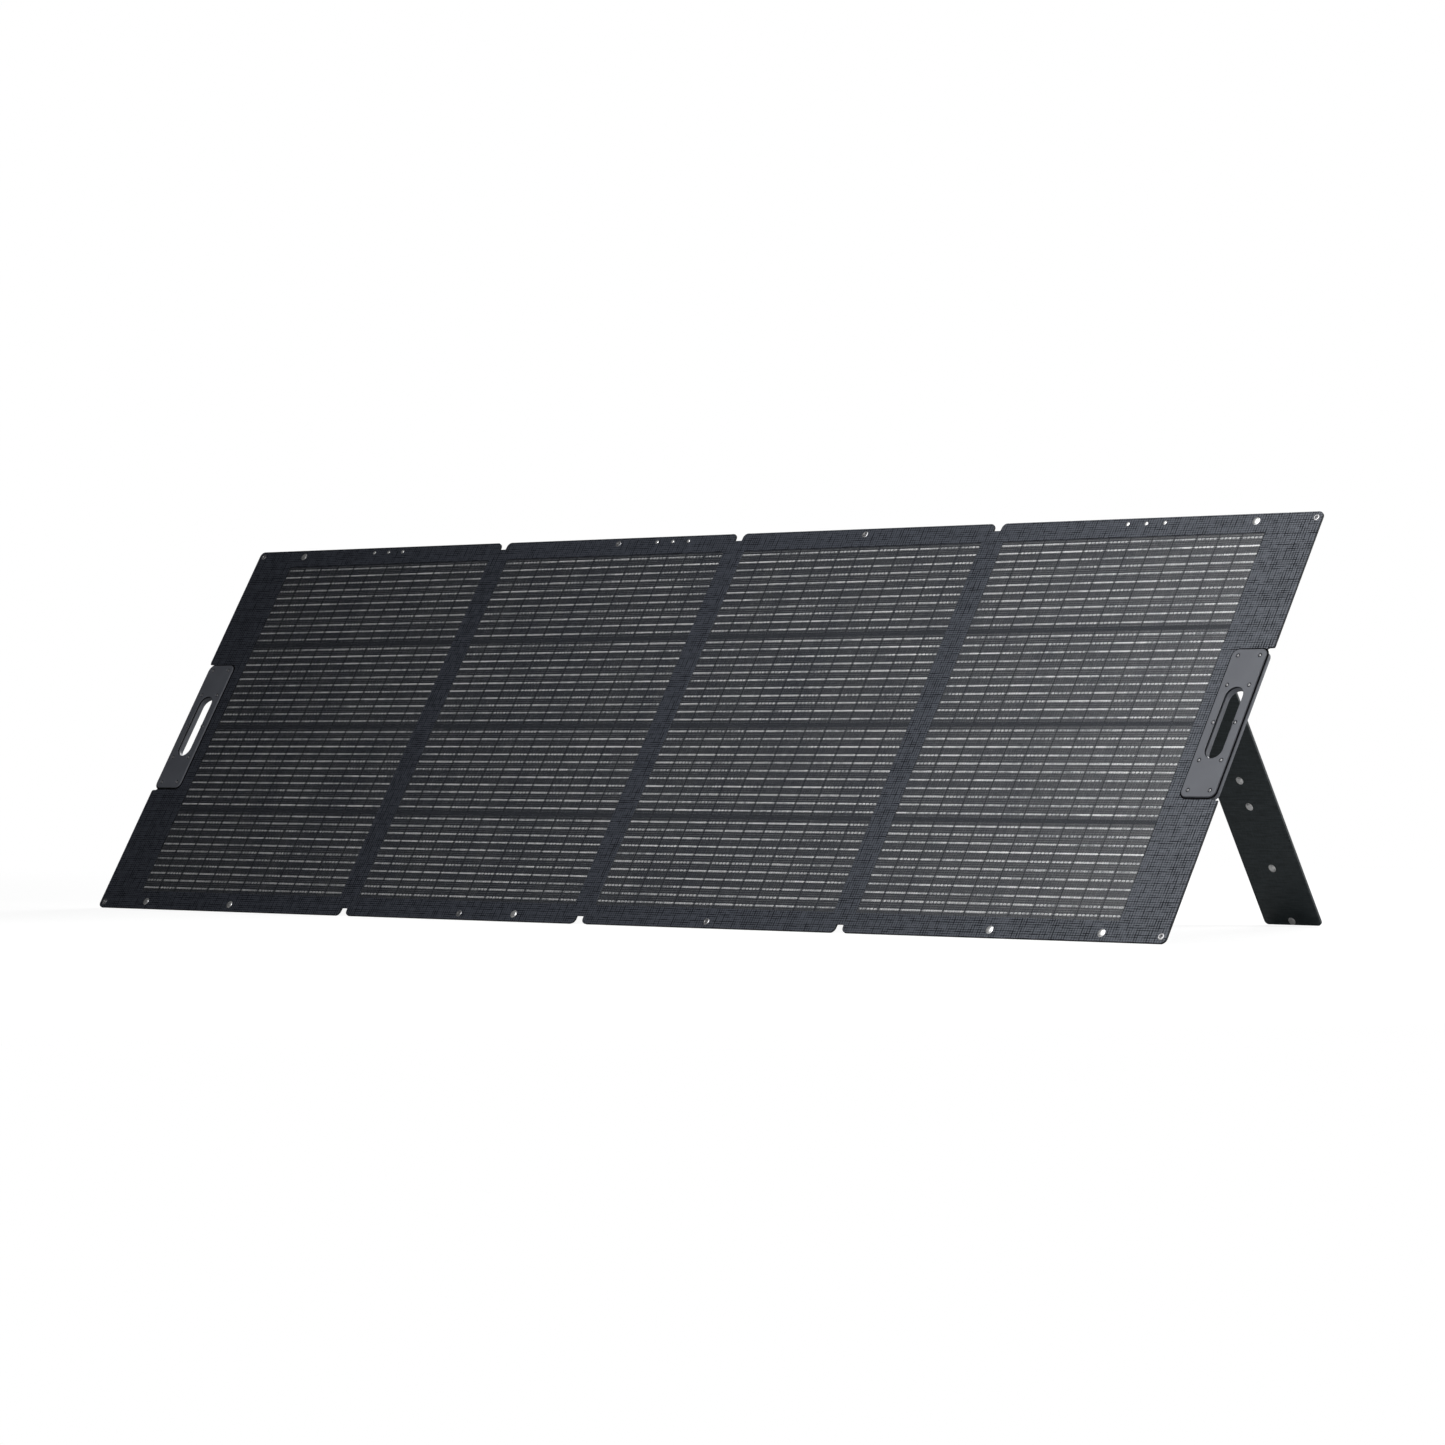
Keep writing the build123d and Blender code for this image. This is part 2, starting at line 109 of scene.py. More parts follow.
# ---------------------------------------------------------------- material building
class Nodes:
    """Small helper that adds and links shader nodes."""

    def __init__(self, name):
        self.material = bpy.data.materials.new(name)
        self.material.use_nodes = True
        self.tree = self.material.node_tree
        self.shader = self.tree.nodes["Principled BSDF"]
        self.output = self.tree.nodes["Material Output"]

    def add(self, kind, inputs=None, **settings):
        """A new node, with its settings, and its inputs given by name or number."""
        node = self.tree.nodes.new(kind)
        for key, value in settings.items():
            setattr(node, key, value)
        for key, value in (inputs or {}).items():
            self.put(node.inputs[key], value)
        return node

    def put(self, socket, value):
        """Gives an input a plain value or the output of another node."""
        if isinstance(value, bpy.types.NodeSocket):
            self.tree.links.new(value, socket)
        else:
            socket.default_value = value

    def math(self, operation, a, b=0.5, c=0.5):
        node = self.add("ShaderNodeMath", operation=operation)
        for socket, value in zip(node.inputs, (a, b, c)):
            self.put(socket, value)
        return node.outputs[0]

    def uv(self):
        """Panel-frame coordinates in metres, stored with the mesh."""
        return self.add("ShaderNodeUVMap", uv_map="flat").outputs[0]

    def place(self):
        """Row-frame coordinates in metres, for pieces with no flat coordinates."""
        return self.add("ShaderNodeTexCoord").outputs["Object"]

    def split(self, vector):
        """Its first two coordinates."""
        return self.add("ShaderNodeSeparateXYZ", {0: vector}).outputs[:2]

    def noise(self, vector, scale, detail=2.0):
        """Soft noise, with one scale, or one for each axis."""
        scale = scale if isinstance(scale, tuple) else (scale, scale, scale)
        scaled = self.add("ShaderNodeVectorMath", {0: vector, 1: scale}, operation="MULTIPLY")
        inputs = {"Vector": scaled.outputs[0], "Scale": 1.0, "Detail": detail}
        return self.add("ShaderNodeTexNoise", inputs).outputs["Fac"]

    def tile_value(self, uv, width, height):
        """A value from 0 to 1 that each tile of a grid has for itself."""
        tile = [self.math("FLOOR", self.math("DIVIDE", *pair)) for pair in zip(uv, (width, height))]
        key = self.add("ShaderNodeCombineXYZ", {0: tile[0], 1: tile[1]}).outputs[0]
        return self.add("ShaderNodeTexWhiteNoise", {"Vector": key}).outputs["Value"]

    def humps(self, coordinate, pitch):
        """0 at each multiple of the pitch, and up to 1 halfway."""
        wave = self.math("SINE", self.math("MULTIPLY", coordinate, math.pi / pitch))
        return self.math("ABSOLUTE", wave)

    def ramp(self, value, low, high, to_low=0.0, to_high=1.0):
        inputs = {"Value": value, "From Min": low, "From Max": high, "To Min": to_low, "To Max": to_high}
        return self.add("ShaderNodeMapRange", inputs).outputs[0]

    def mix(self, factor, a, b):
        return self.add("ShaderNodeMix", {"Factor": factor, 6: a, 7: b}, data_type="RGBA").outputs[2]

    def bump(self, height, strength, distance=0.4 * MM):
        inputs = {"Height": height, "Strength": strength, "Distance": distance}
        return self.add("ShaderNodeBump", inputs).outputs[0]

    def finish(self, color, rough, normal=None, **others):
        self.put(self.shader.inputs["Base Color"], color)
        self.put(self.shader.inputs["Roughness"], rough)
        if normal is not None:
            self.put(self.shader.inputs["Normal"], normal)
        for key, value in others.items():
            self.put(self.shader.inputs[key.replace("_", " ")], value)
        return self.material


def rgb(r, g, b):
    return (r, g, b, 1.0)


def furrows(n, coordinate, pitch, slub, depth):
    """A row of threads seen across them: 1 on each, less in the furrows between, some deeper."""
    place = n.math("DIVIDE", coordinate, pitch)
    furrow = n.math("SUBTRACT", 1.0, n.math("POWER", n.humps(place, 1.0), 0.8))
    number = n.math("FLOOR", n.math("ADD", place, 0.5))
    own = n.add("ShaderNodeTexWhiteNoise", {"W": number}, noise_dimensions="1D")
    deep = n.math("MULTIPLY_ADD", own.outputs["Value"], 0.36, n.ramp(slub, 0.35, 0.65, 0.0, 0.6))
    cut = n.math("MULTIPLY_ADD", n.math("POWER", deep, 2.0), depth, 0.33)
    return n.math("SUBTRACT", 1.0, n.math("MULTIPLY", furrow, cut))


def linen(n, uv, across=4.4 * MM, upward=5.4 * MM):
    """Uneven threads both ways, as in linen, 0 in the deepest furrows to 1 on the threads, and the
    two coordinates that they sway with."""
    sway = n.math("MULTIPLY_ADD", n.noise(uv, (35, 35, 1)), 0.9 * MM, -0.45 * MM)
    wide, high = (n.math("ADD", flat, sway) for flat in n.split(uv))
    rows = furrows(n, high, across, n.noise(uv, (55, 300, 1), 1.0), 1.6)
    lines = furrows(n, wide, upward, n.noise(uv, (240, 45, 1), 1.0), 1.4)
    slub = n.ramp(n.noise(uv, (18, 260, 1), 1.0), 0.3, 0.7, 0.85, 1.0)
    tone = n.math("MULTIPLY", n.math("MULTIPLY", rows, lines), slub)
    return n.math("MAXIMUM", tone, 0.0), high, wide


def fine_threads(n, high, wide, pitch):
    """Fine plain weave on top of the uneven threads, 0 to 1."""
    return n.math("MULTIPLY", n.humps(high, pitch), n.humps(wide, pitch))


def laminate(name, clear=False):
    """Blue-charcoal laminate embossed like linen; the cover film is the same, but see-through."""
    n = Nodes(name)
    uv = n.uv()
    tone, high, wide = linen(n, uv)
    fine = fine_threads(n, high, wide, 1.1 * MM)
    cloud = n.noise(uv, (4, 5, 1), 2.0)
    light = n.mix(cloud, rgb(0.049, 0.055, 0.070), rgb(0.059, 0.065, 0.083))
    mixed = n.math("MULTIPLY_ADD", fine, 0.25, n.ramp(tone, 0.15, 0.95, 0.0, 0.78))
    return n.finish(
        n.mix(mixed, rgb(0.003, 0.0034, 0.0045), light),
        n.ramp(tone, 0.1, 0.8, 0.56, 0.42),
        n.bump(n.math("MULTIPLY_ADD", fine, 0.3, tone), 0.4),
        Specular_IOR_Level=n.ramp(tone, 0.1, 0.9, 0.05, 1.0),
        Specular_Tint=rgb(0.87, 0.92, 1.0),
        Alpha=n.ramp(tone, 0.3, 0.9, 0.05, 0.28) if clear else 1.0,
    )


def cell_material():
    """Dark silicon with pale lines between the ribbons, each cell a little different."""
    n = Nodes("solar_cell")
    uv = n.uv()
    split = n.split(uv)
    wave = n.humps(split[1], RIBBON_PITCH / 4)
    broken = n.ramp(n.noise(uv, (160, 500, 1), 1.0), 0.35, 0.6, 0.35, 1.0)
    lines = n.math("MULTIPLY", n.ramp(wave, 0.0, 0.45, 1.0, 0.0), broken)
    own = n.tile_value(split, CELL_PITCH, ROW_PITCH)
    base = n.mix(own, rgb(0.0140, 0.0160, 0.0222), rgb(0.028, 0.030, 0.033))
    color = n.mix(n.math("MULTIPLY", lines, 0.38), base, rgb(0.52, 0.525, 0.515))
    return n.finish(color, 0.42, n.bump(n.noise(uv, (900, 900, 1)), 0.1), Specular_IOR_Level=1.0)


def ribbon_material():
    """Tinned copper, brighter at the soldered pads, and duller on some cells than on others."""
    n = Nodes("cell_ribbon")
    uv = n.uv()
    own = n.tile_value(n.split(uv), 2 * CELL_PITCH, RIBBON_PITCH)
    pads = n.ramp(n.noise(uv, (230, 60, 1)), 0.42, 0.58)
    dull = n.mix(pads, rgb(0.30, 0.31, 0.32), rgb(0.72, 0.73, 0.73))
    color = n.mix(n.ramp(own, 0.1, 0.8), dull, rgb(0.88, 0.88, 0.88))
    return n.finish(color, n.ramp(own, 0, 1, 0.6, 0.42), n.bump(pads, 0.3), Metallic=0.3)


def back_weave():
    """Coarse black-grey polyester on the backs and hinge strips."""
    n = Nodes("back_weave")
    uv = n.uv()
    tone, high, wide = linen(n, uv, 3.2 * MM, 3.4 * MM)
    fine = fine_threads(n, high, wide, 0.9 * MM)
    cloud = n.noise(uv, (9, 7, 1), 3.0)
    light = n.mix(n.ramp(cloud, 0.3, 0.7), rgb(0.036, 0.039, 0.044), rgb(0.050, 0.054, 0.060))
    return n.finish(
        n.mix(n.ramp(tone, 0.1, 0.95), rgb(0.009, 0.010, 0.011), light),
        n.ramp(tone, 0.1, 0.8, 0.85, 0.65),
        n.bump(n.math("MULTIPLY_ADD", fine, 0.5, tone), 0.5),
        Sheen_Weight=0.2,
        Sheen_Roughness=0.4,
    )


def speckled(name, scale, detail, dark, light, rough, bump, **others):
    """A mottled plain material. The roughness is one value, or ramp() makes it from the speckle."""
    n = Nodes(name)
    speck = n.noise(n.place(), scale, detail)
    if isinstance(rough, tuple):
        rough = n.ramp(speck, *rough)
    return n.finish(n.mix(speck, dark, light), rough, n.bump(speck, *bump), **others)


def grained(name, grain, cloud, spread, dark, light, rough, bump, **others):
    """A moulded material with a fine grain, and a cloudy tone that also shifts its gloss."""
    n = Nodes(name)
    tone = n.noise(n.place(), *cloud)
    fine = n.noise(n.place(), grain)
    color = n.mix(n.ramp(tone, *spread), dark, light)
    return n.finish(color, n.ramp(tone, 0.3, 0.7, *rough), n.bump(fine, bump, 0.2 * MM), **others)


def leg_skin():
    """Very dark green-black laminate with faint streaks across the leg."""
    n = Nodes("leg_skin")
    uv = n.uv()
    across = n.noise(uv, (30, 320, 1), 2.0)
    upward = n.noise(uv, (420, 90, 1), 1.0)
    tone = n.math("MULTIPLY_ADD", across, 0.6, n.math("MULTIPLY", upward, 0.4))
    color = n.mix(n.ramp(tone, 0.35, 0.68), rgb(0.0122, 0.0188, 0.0212), rgb(0.0295, 0.0414, 0.0460))
    height = n.math("MULTIPLY_ADD", linen(n, uv)[0], 0.4, tone)
    return n.finish(color, n.ramp(across, 0.3, 0.7, 0.62, 0.48), n.bump(height, 0.45))


def metal(name, dark, light, rough, metallic=1.0):
    """Plated metal with faint tarnish and fine scratches."""
    n = Nodes(name)
    scratch = n.noise(n.place(), (2600, 500, 500), 1.0)
    tarnish = n.ramp(n.noise(n.place(), 180, 3.0), 0.3, 0.7)
    rough = n.math("MULTIPLY_ADD", scratch, 0.15, rough)
    color = n.mix(tarnish, dark, light)
    return n.finish(color, rough, n.bump(scratch, 0.06, 0.1 * MM), Metallic=metallic)


def pocket_fabric():
    """Fine nylon of the cable pocket."""
    n = Nodes("pocket_fabric")
    uv = n.uv()
    tone = linen(n, uv, 1.3 * MM, 1.3 * MM)[0]
    cloud = n.noise(uv, (14, 14, 1), 3.0)
    light = n.mix(n.ramp(cloud, 0.3, 0.7), rgb(0.026, 0.028, 0.031), rgb(0.038, 0.041, 0.045))
    color = n.mix(n.ramp(tone, 0.1, 0.95), rgb(0.010, 0.011, 0.012), light)
    return n.finish(color, n.ramp(cloud, 0.3, 0.7, 0.6, 0.75), n.bump(tone, 0.5), Sheen_Weight=0.3)


# ---------------------------------------------------------------- mesh building
def rounded(corners, turn=math.radians(12)):
    """Outline of a polygon given as (x, y, corner radius), with arcs at its corners."""
    points = []
    for i, (x, y, radius) in enumerate(corners):
        here = Vector((x, y))
        if radius <= 0:
            points.append(here)
            continue
        back = (Vector(corners[i - 1][:2]) - here).normalized()
        ahead = (Vector(corners[(i + 1) % len(corners)][:2]) - here).normalized()
        half = math.acos(max(-1, min(1, back.dot(ahead)))) / 2
        centre = here + (back + ahead).normalized() * radius / math.sin(half)
        start = here + back * radius / math.tan(half) - centre
        end = here + ahead * radius / math.tan(half) - centre
        sweep = math.atan2(start.x * end.y - start.y * end.x, start.dot(end))
        steps = max(2, math.ceil(abs(sweep) / turn))
        for k in range(steps + 1):
            cos, sin = math.cos(sweep * k / steps), math.sin(sweep * k / steps)
            spoke = Vector((start.x * cos - start.y * sin, start.x * sin + start.y * cos))
            points.append(centre + spoke)
    return points


def rounded_box(x, y, width, height, radius):
    """A rounded rectangle around a middle."""
    corners = ((-1, -1), (1, -1), (1, 1), (-1, 1))
    return rounded([(x + width / 2 * i, y + height / 2 * j, radius) for i, j in corners])


def inset_box(node, radius, inset=0.0, inset_y=None):
    """A rounded rectangle as big as a CAD node, less a margin all round, or one each way."""
    middle, (width, height) = flat_rect(node)
    margin = inset if inset_y is None else inset_y
    return rounded_box(*middle, width - 2 * inset, height - 2 * margin, radius)


def circle(x, y, radius, count=24):
    turns = [2 * math.pi * i / count for i in range(count)]
    return [Vector((x + radius * math.cos(a), y + radius * math.sin(a))) for a in turns]


def mm(profile):
    """A profile of (radius, height) given in millimetres."""
    return [(r * MM, h * MM) for r, h in profile]


def add_plate(bm, outer, holes, low, high, bevel, rounds=2):
    """Adds a sheet with holes and rounded edges, cut from an outline, between two heights."""
    curve = bpy.data.curves.new("outline", "CURVE")
    curve.dimensions = "2D"
    curve.fill_mode = "BOTH"
    curve.extrude = (high - low) / 2 - bevel
    curve.bevel_depth = bevel
    curve.bevel_resolution = rounds
    curve.offset = -bevel
    for loop in [outer, *holes]:
        spline = curve.splines.new("POLY")
        spline.points.add(len(loop) - 1)
        for point, at in zip(spline.points, loop):
            point.co = (at[0], at[1], 0, 1)
        spline.use_cyclic_u = True
    source = bpy.data.objects.new("outline", curve)
    bpy.context.scene.collection.objects.link(source)
    bpy.context.view_layer.update()
    mesh = bpy.data.meshes.new_from_object(source.evaluated_get(bpy.context.evaluated_depsgraph_get()))
    mesh.transform(Matrix.Translation((0, 0, (low + high) / 2)))
    before = len(bm.verts)
    bm.from_mesh(mesh)
    bm.verts.ensure_lookup_table()
    bmesh.ops.remove_doubles(bm, verts=bm.verts[before:], dist=0.002 * MM)
    bpy.data.objects.remove(source)
    bpy.data.curves.remove(curve)
    bpy.data.meshes.remove(mesh)


def add_lathe(bm, profile, matrix, segments=28):
    """Adds a turned shape: a profile of (radius, height) spun about its Z axis."""
    rings = []
    for radius, height in profile:
        spots = circle(0, 0, radius, segments) if radius > 0.0001 * MM else [(0, 0)]
        rings.append([bm.verts.new(matrix @ Vector((*spot, height))) for spot in spots])
    for lower, upper in zip(rings, rings[1:]):
        for i in range(segments):
            j = (i + 1) % segments
            corners = [ring[k % len(ring)] for ring, k in ((lower, i), (lower, j), (upper, j), (upper, i))]
            bm.faces.new(list(dict.fromkeys(corners)))


def join_rings(bm, rings, strip=False):
    """Skins rings of vertices and closes both ends: with one face, or with a row of faces where
    each ring runs along one side of a strip and back along the other."""
    count = len(rings[0])
    for a, b in zip(rings, rings[1:]):
        for i in range(count):
            j = (i + 1) % count
            bm.faces.new((a[i], a[j], b[j], b[i]))
    for ring in (rings[0], rings[-1]):
        if strip:
            for i in range(count // 2 - 1):
                bm.faces.new((ring[i], ring[i + 1], ring[-2 - i], ring[-1 - i]))
        else:
            bm.faces.new(ring)


def add_tube(bm, path, radius, segments=12):
    """Adds a round bar along a path that is nowhere upright, closed at both ends."""
    rings = []
    for i, at in enumerate(path):
        ahead = (path[min(i + 1, len(path) - 1)] - path[max(i - 1, 0)]).normalized()
        side = ahead.cross(Vector((0, 0, 1))).normalized()
        over = side.cross(ahead)
        spokes = circle(0, 0, radius, segments)
        rings.append([bm.verts.new(at + side * p.x + over * p.y) for p in spokes])
    join_rings(bm, rings)


def add_flat_shape(bm, outline, low, high):
    """Adds a small straight-sided solid."""
    join_rings(bm, [[bm.verts.new((p[0], p[1], z)) for p in outline] for z in (low, high)])


def add_stitches(bm, path, height, pitch=4.2 * MM, length=2.9 * MM, radius=0.38 * MM):
    """Adds a row of thread dashes along a path, sunk a little at both ends of each dash."""
    gone = 0.0
    for a, b in zip(path, path[1:]):
        direction = (b - a).normalized()
        while gone + length <= (b - a).length:
            dash = []
            for t, rise in ((0, -0.6), (0.25, 0.4), (0.75, 0.4), (1, -0.6)):
                spot = a + direction * gone + direction * length * t
                dash.append(Vector((spot.x, spot.y, height + rise * radius)))
            add_tube(bm, dash, radius, 6)
            gone += pitch
        gone = max(gone - (b - a).length, 0.0)


def crease_edges(bm, angle):
    """Keeps shading crisp over sharp edges and round every level face, so that those stay even."""
    for edge in bm.edges:
        if len(edge.link_faces) == 2:
            level = [abs(face.normal.z) > 0.99999 for face in edge.link_faces]
            edge.smooth = level[0] == level[1] and edge.calc_face_angle(0) < angle


def make_piece(
    name, body, node, bm, materials, matrix=FLAT, smooth=True, edge_angle=35, unrolled=None
):
    """Turns a flat-drawn bmesh into a piece that rides on a body and stands for a CAD node, with
    its flat coordinates kept as UVs, or those of its unrolled cloth. With two materials, faces
    that stand upright take the second."""
    bmesh.ops.recalc_face_normals(bm, faces=bm.faces)
    if smooth:
        crease_edges(bm, math.radians(edge_angle))
    layer = bm.loops.layers.uv.new("flat")
    for face in bm.faces:
        face.smooth = smooth
        upright = abs(face.normal.z) < 0.5
        face.material_index = 1 if upright and len(materials) > 1 else 0
        for loop in face.loops:
            spot = loop.vert.co
            loop[layer].uv = unrolled[loop.vert] if unrolled else (spot.x + spot.z, spot.y)
    mesh = bpy.data.meshes.new(name)
    bm.to_mesh(mesh)
    bm.free()
    mesh.transform(matrix)
    for material in materials:
        mesh.materials.append(material)
    piece = bpy.data.objects.new(name, mesh)
    bpy.context.scene.collection.objects.link(piece)
    if body:
        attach(piece, body)
    if node:
        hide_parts(node)
    return piece


def plate_piece(name, slot, body, node, materials, *plates):
    """A piece of one or more plates, each as add_plate() takes it."""
    bm = bmesh.new()
    for plate in plates:
        add_plate(bm, *plate)
    return make_piece(name, body, node, bm, materials)


def turned_piece(name, body, node, metal, profile, spots, segments, z=0.0, matrix=FLAT):
    """A group of fasteners: one turned shape at each of the spots."""
    bm = bmesh.new()
    for spot in spots:
        add_lathe(bm, profile, Matrix.Translation((spot.x, spot.y, z)), segments)
    make_piece(name, body, node, bm, [metal], matrix)


def stitched_piece(name, slot, rows, height, matrix=FLAT, body="panel_3", **stitch):
    """A piece of rows of stitches, all at one height."""
    bm = bmesh.new()
    for row in rows:
        add_stitches(bm, row, height, **stitch)
    make_piece(name, body, None, bm, [THREAD], matrix)


# ---------------------------------------------------------------- materials
CELL_W, CELL_H, CELL_CUT = 45.5 * MM, 182 * MM, 1.8 * MM
CELL_PITCH, ROW_PITCH, RIBBON_PITCH = 48.3 * MM, 190 * MM, 16.5 * MM
FACE_WEAVE = laminate("face_weave")
FILM = laminate("cover_film", clear=True)
BACK_WEAVE = back_weave()
NYLON = pocket_fabric()
CELL = cell_material()
RIBBON = ribbon_material()
LEG = leg_skin()
EDGE = speckled(
    "laminate_edge", 260, 3.0, rgb(0.006, 0.007, 0.008), rgb(0.020, 0.022, 0.024),
    (0.2, 0.8, 0.6, 0.8), (0.3,), Specular_IOR_Level=0.15,
)
# Near-black and nearly unreflecting: painted shade for the gaps, screw wells and slot walls of the handles.
PAINTED_SHADE = speckled(
    "painted_shade_black", 400, 2.0, rgb(0.002, 0.002, 0.002), rgb(0.005, 0.005, 0.006),
    0.9, (0.2,), Specular_IOR_Level=0.04,
)
BACKING = speckled(
    "backing_sheet", 30, 2.0, rgb(0.022, 0.024, 0.028), rgb(0.032, 0.035, 0.040),
    (0.3, 0.7, 0.6, 0.75), (0.1,), Specular_IOR_Level=0.25,
)
LEG_EDGE = speckled(
    "leg_edge", 240, 3.0, rgb(0.030, 0.034, 0.036), rgb(0.062, 0.068, 0.071), 0.6, (0.25,)
)
THREAD = speckled(
    "sewing_thread", 2200, 1.0, rgb(0.15, 0.155, 0.165), rgb(0.30, 0.305, 0.315),
    0.6, (0.4, 0.2 * MM), Sheen_Weight=0.3,
)
TEETH = speckled(
    "zip_teeth", 700, 2.0, rgb(0.012, 0.012, 0.013), rgb(0.03, 0.03, 0.032), 0.35, (0.1, 0.2 * MM)
)
HANDLE = grained(
    "handle_plastic", 1500, (22, 3.0), (0.3, 0.7), rgb(0.088, 0.093, 0.108), rgb(0.102, 0.108, 0.124),
    (0.44, 0.52), 0.12, Specular_IOR_Level=0.42,
)
BLACK = grained(
    "black_plastic", 1300, (40, 2.0), (0, 1), rgb(0.012, 0.012, 0.013), rgb(0.024, 0.024, 0.026),
    (0.38, 0.5), 0.2,
)
JACKET = grained(
    "cable_jacket", 900, (60, 3.0), (0.35, 0.7), rgb(0.010, 0.010, 0.010), rgb(0.022, 0.022, 0.023),
    (0.55, 0.55), 0.15,
)
NICKEL = metal("nickel", rgb(0.66, 0.66, 0.66), rgb(0.94, 0.94, 0.93), 0.24, 0.8)
EYELET = metal("eyelet_steel", rgb(0.26, 0.26, 0.27), rgb(0.52, 0.52, 0.53), 0.28, 0.85)
SCREW = metal("dark_screws", rgb(0.26, 0.26, 0.27), rgb(0.48, 0.48, 0.49), 0.32, 0.7)
BRASS = metal("terminal_brass", rgb(0.55, 0.42, 0.18), rgb(0.78, 0.62, 0.30), 0.3)


# ---------------------------------------------------------------- panels
NOTCH_HALF, NOTCH_DEPTH, NOTCH_CORNER = 8.7 * MM, 15.5 * MM, 10 * MM
END_CORNER = 10 * MM
SLOT_W, SLOT_L, HANDLE_CORNER = 36 * MM, 137 * MM, 12.5 * MM
CUTBACK_L, CUTBACK_DEPTH, CUTBACK_CORNER = 294 * MM, 14 * MM, 4.5 * MM
WINDOW_LAP, WINDOW_GAP = 1.6 * MM, 0.1 * MM
EYELET_HOLE = 3.6 * MM
SLOT_MARGIN = 2.6 * MM


def handle_outline(side, shrink=0.0):
    """Outline of a handle, drawn in all round."""
    return inset_box(f"{side}_handle_front_plate", HANDLE_CORNER - shrink, shrink)


def finger_slot(side, grow=0.0):
    """Outline of the slot through a handle, grown all round."""
    middle = flat_rect(f"{side}_handle_front_plate")[0]
    radius = SLOT_W / 2 + grow - 0.01 * MM
    return rounded_box(*middle, SLOT_W + 2 * grow, SLOT_L + 2 * grow, radius)


def panel_outline(number):
    """A panel's outline, with notch corners at its folds and the cut-back at a handle."""
    left, right = (corner.x for corner in flat_box(f"panel_{number}_board"))
    left_r, right_r = {
        1: (END_CORNER, NOTCH_CORNER),
        2: (NOTCH_CORNER, 0),
        3: (0, NOTCH_CORNER),
        4: (NOTCH_CORNER, END_CORNER),
    }[number]
    edge, inward = (left, 1) if number == 1 else (right, -1)
    cutback = [
        (edge + inward * depth, HEIGHT / 2 + up * CUTBACK_L / 2, CUTBACK_CORNER)
        for depth, up in ((0, -1), (CUTBACK_DEPTH, -1), (CUTBACK_DEPTH, 1), (0, 1))
    ]
    shape = [(left, 0, left_r), (right, 0, right_r)]
    shape += cutback if number == 4 else []
    shape += [(right, HEIGHT, right_r), (left, HEIGHT, left_r)]
    shape += cutback[::-1] if number == 1 else []
    return rounded(shape)


def flat_spots(node, matrix=TO_FLAT):
    """Middles of the separate solids of a CAD node in the panel frame, left to right, then up."""
    bm = bmesh.new()
    bm.from_mesh(frame["nodes"][node].data)
    bmesh.ops.remove_doubles(bm, verts=bm.verts, dist=0.001 * MM)
    left = set(bm.verts)
    spots = []
    while left:
        island = [left.pop()]
        for vert in island:
            near = {edge.other_vert(vert) for edge in vert.link_edges} & left
            left -= near
            island += near
        low, high = (Vector([pick(v.co[i] for v in island) for i in range(3)]) for pick in (min, max))
        spots.append((low + high) / 2)
    bm.free()
    spots.sort(key=lambda p: (round(p.x, 4), round(p.z, 4)))
    return [matrix @ spot for spot in spots]


def eyelet_profile():
    """A rolled eyelet seen in section, closed on itself."""
    back = REAR / MM
    front = [(3, back / 2), (3, 0.3), (3.15, 0.7), (3.7, 0.95), (5, 0.8), (6.1, 0.45), (6.5, 0.1), (6.5, 0)]
    behind = [(6.5, 0), (6.5, -0.15), (6.1, -0.45), (5, -0.8), (3.7, -0.9), (3.15, -0.7), (3, -0.3)]
    return mm(front + [(4.2, 0), (4.2, back)] + [(r, back + h) for r, h in behind] + front[:1])


def cap_profile(radius, dome, face, back, base=0.8 * MM, post=2 * MM):
    """A domed cap with a rolled rim, its post, and a thin base with a raised ring behind."""
    over = [
        (0, 1), (0.35, 0.94), (0.62, 0.78), (0.82, 0.5), (0.88, 0.24), (0.952, 0.2), (1, 0.1), (1, 0)
    ]
    under = [(0.88, 0), (0.88, 0.6), (0.78, 1), (0.5, 0.85), (0.4, 0.35), (0, 0.35)]
    profile = [(radius * r, face + dome * h) for r, h in over]
    profile += [(post, face), (post, back)]
    return profile + [(radius * r, back - base * h) for r, h in under]


def snap_caps(name, body, node, face, back, into=TO_FLAT, matrix=FLAT):
    """The 15 mm caps that close the folded panels and legs."""
    profile = cap_profile(7.5 * MM, 1.8 * MM, face, back)
    turned_piece(name, body, node, NICKEL, profile, flat_spots(node, into), 36, 0.0, matrix)


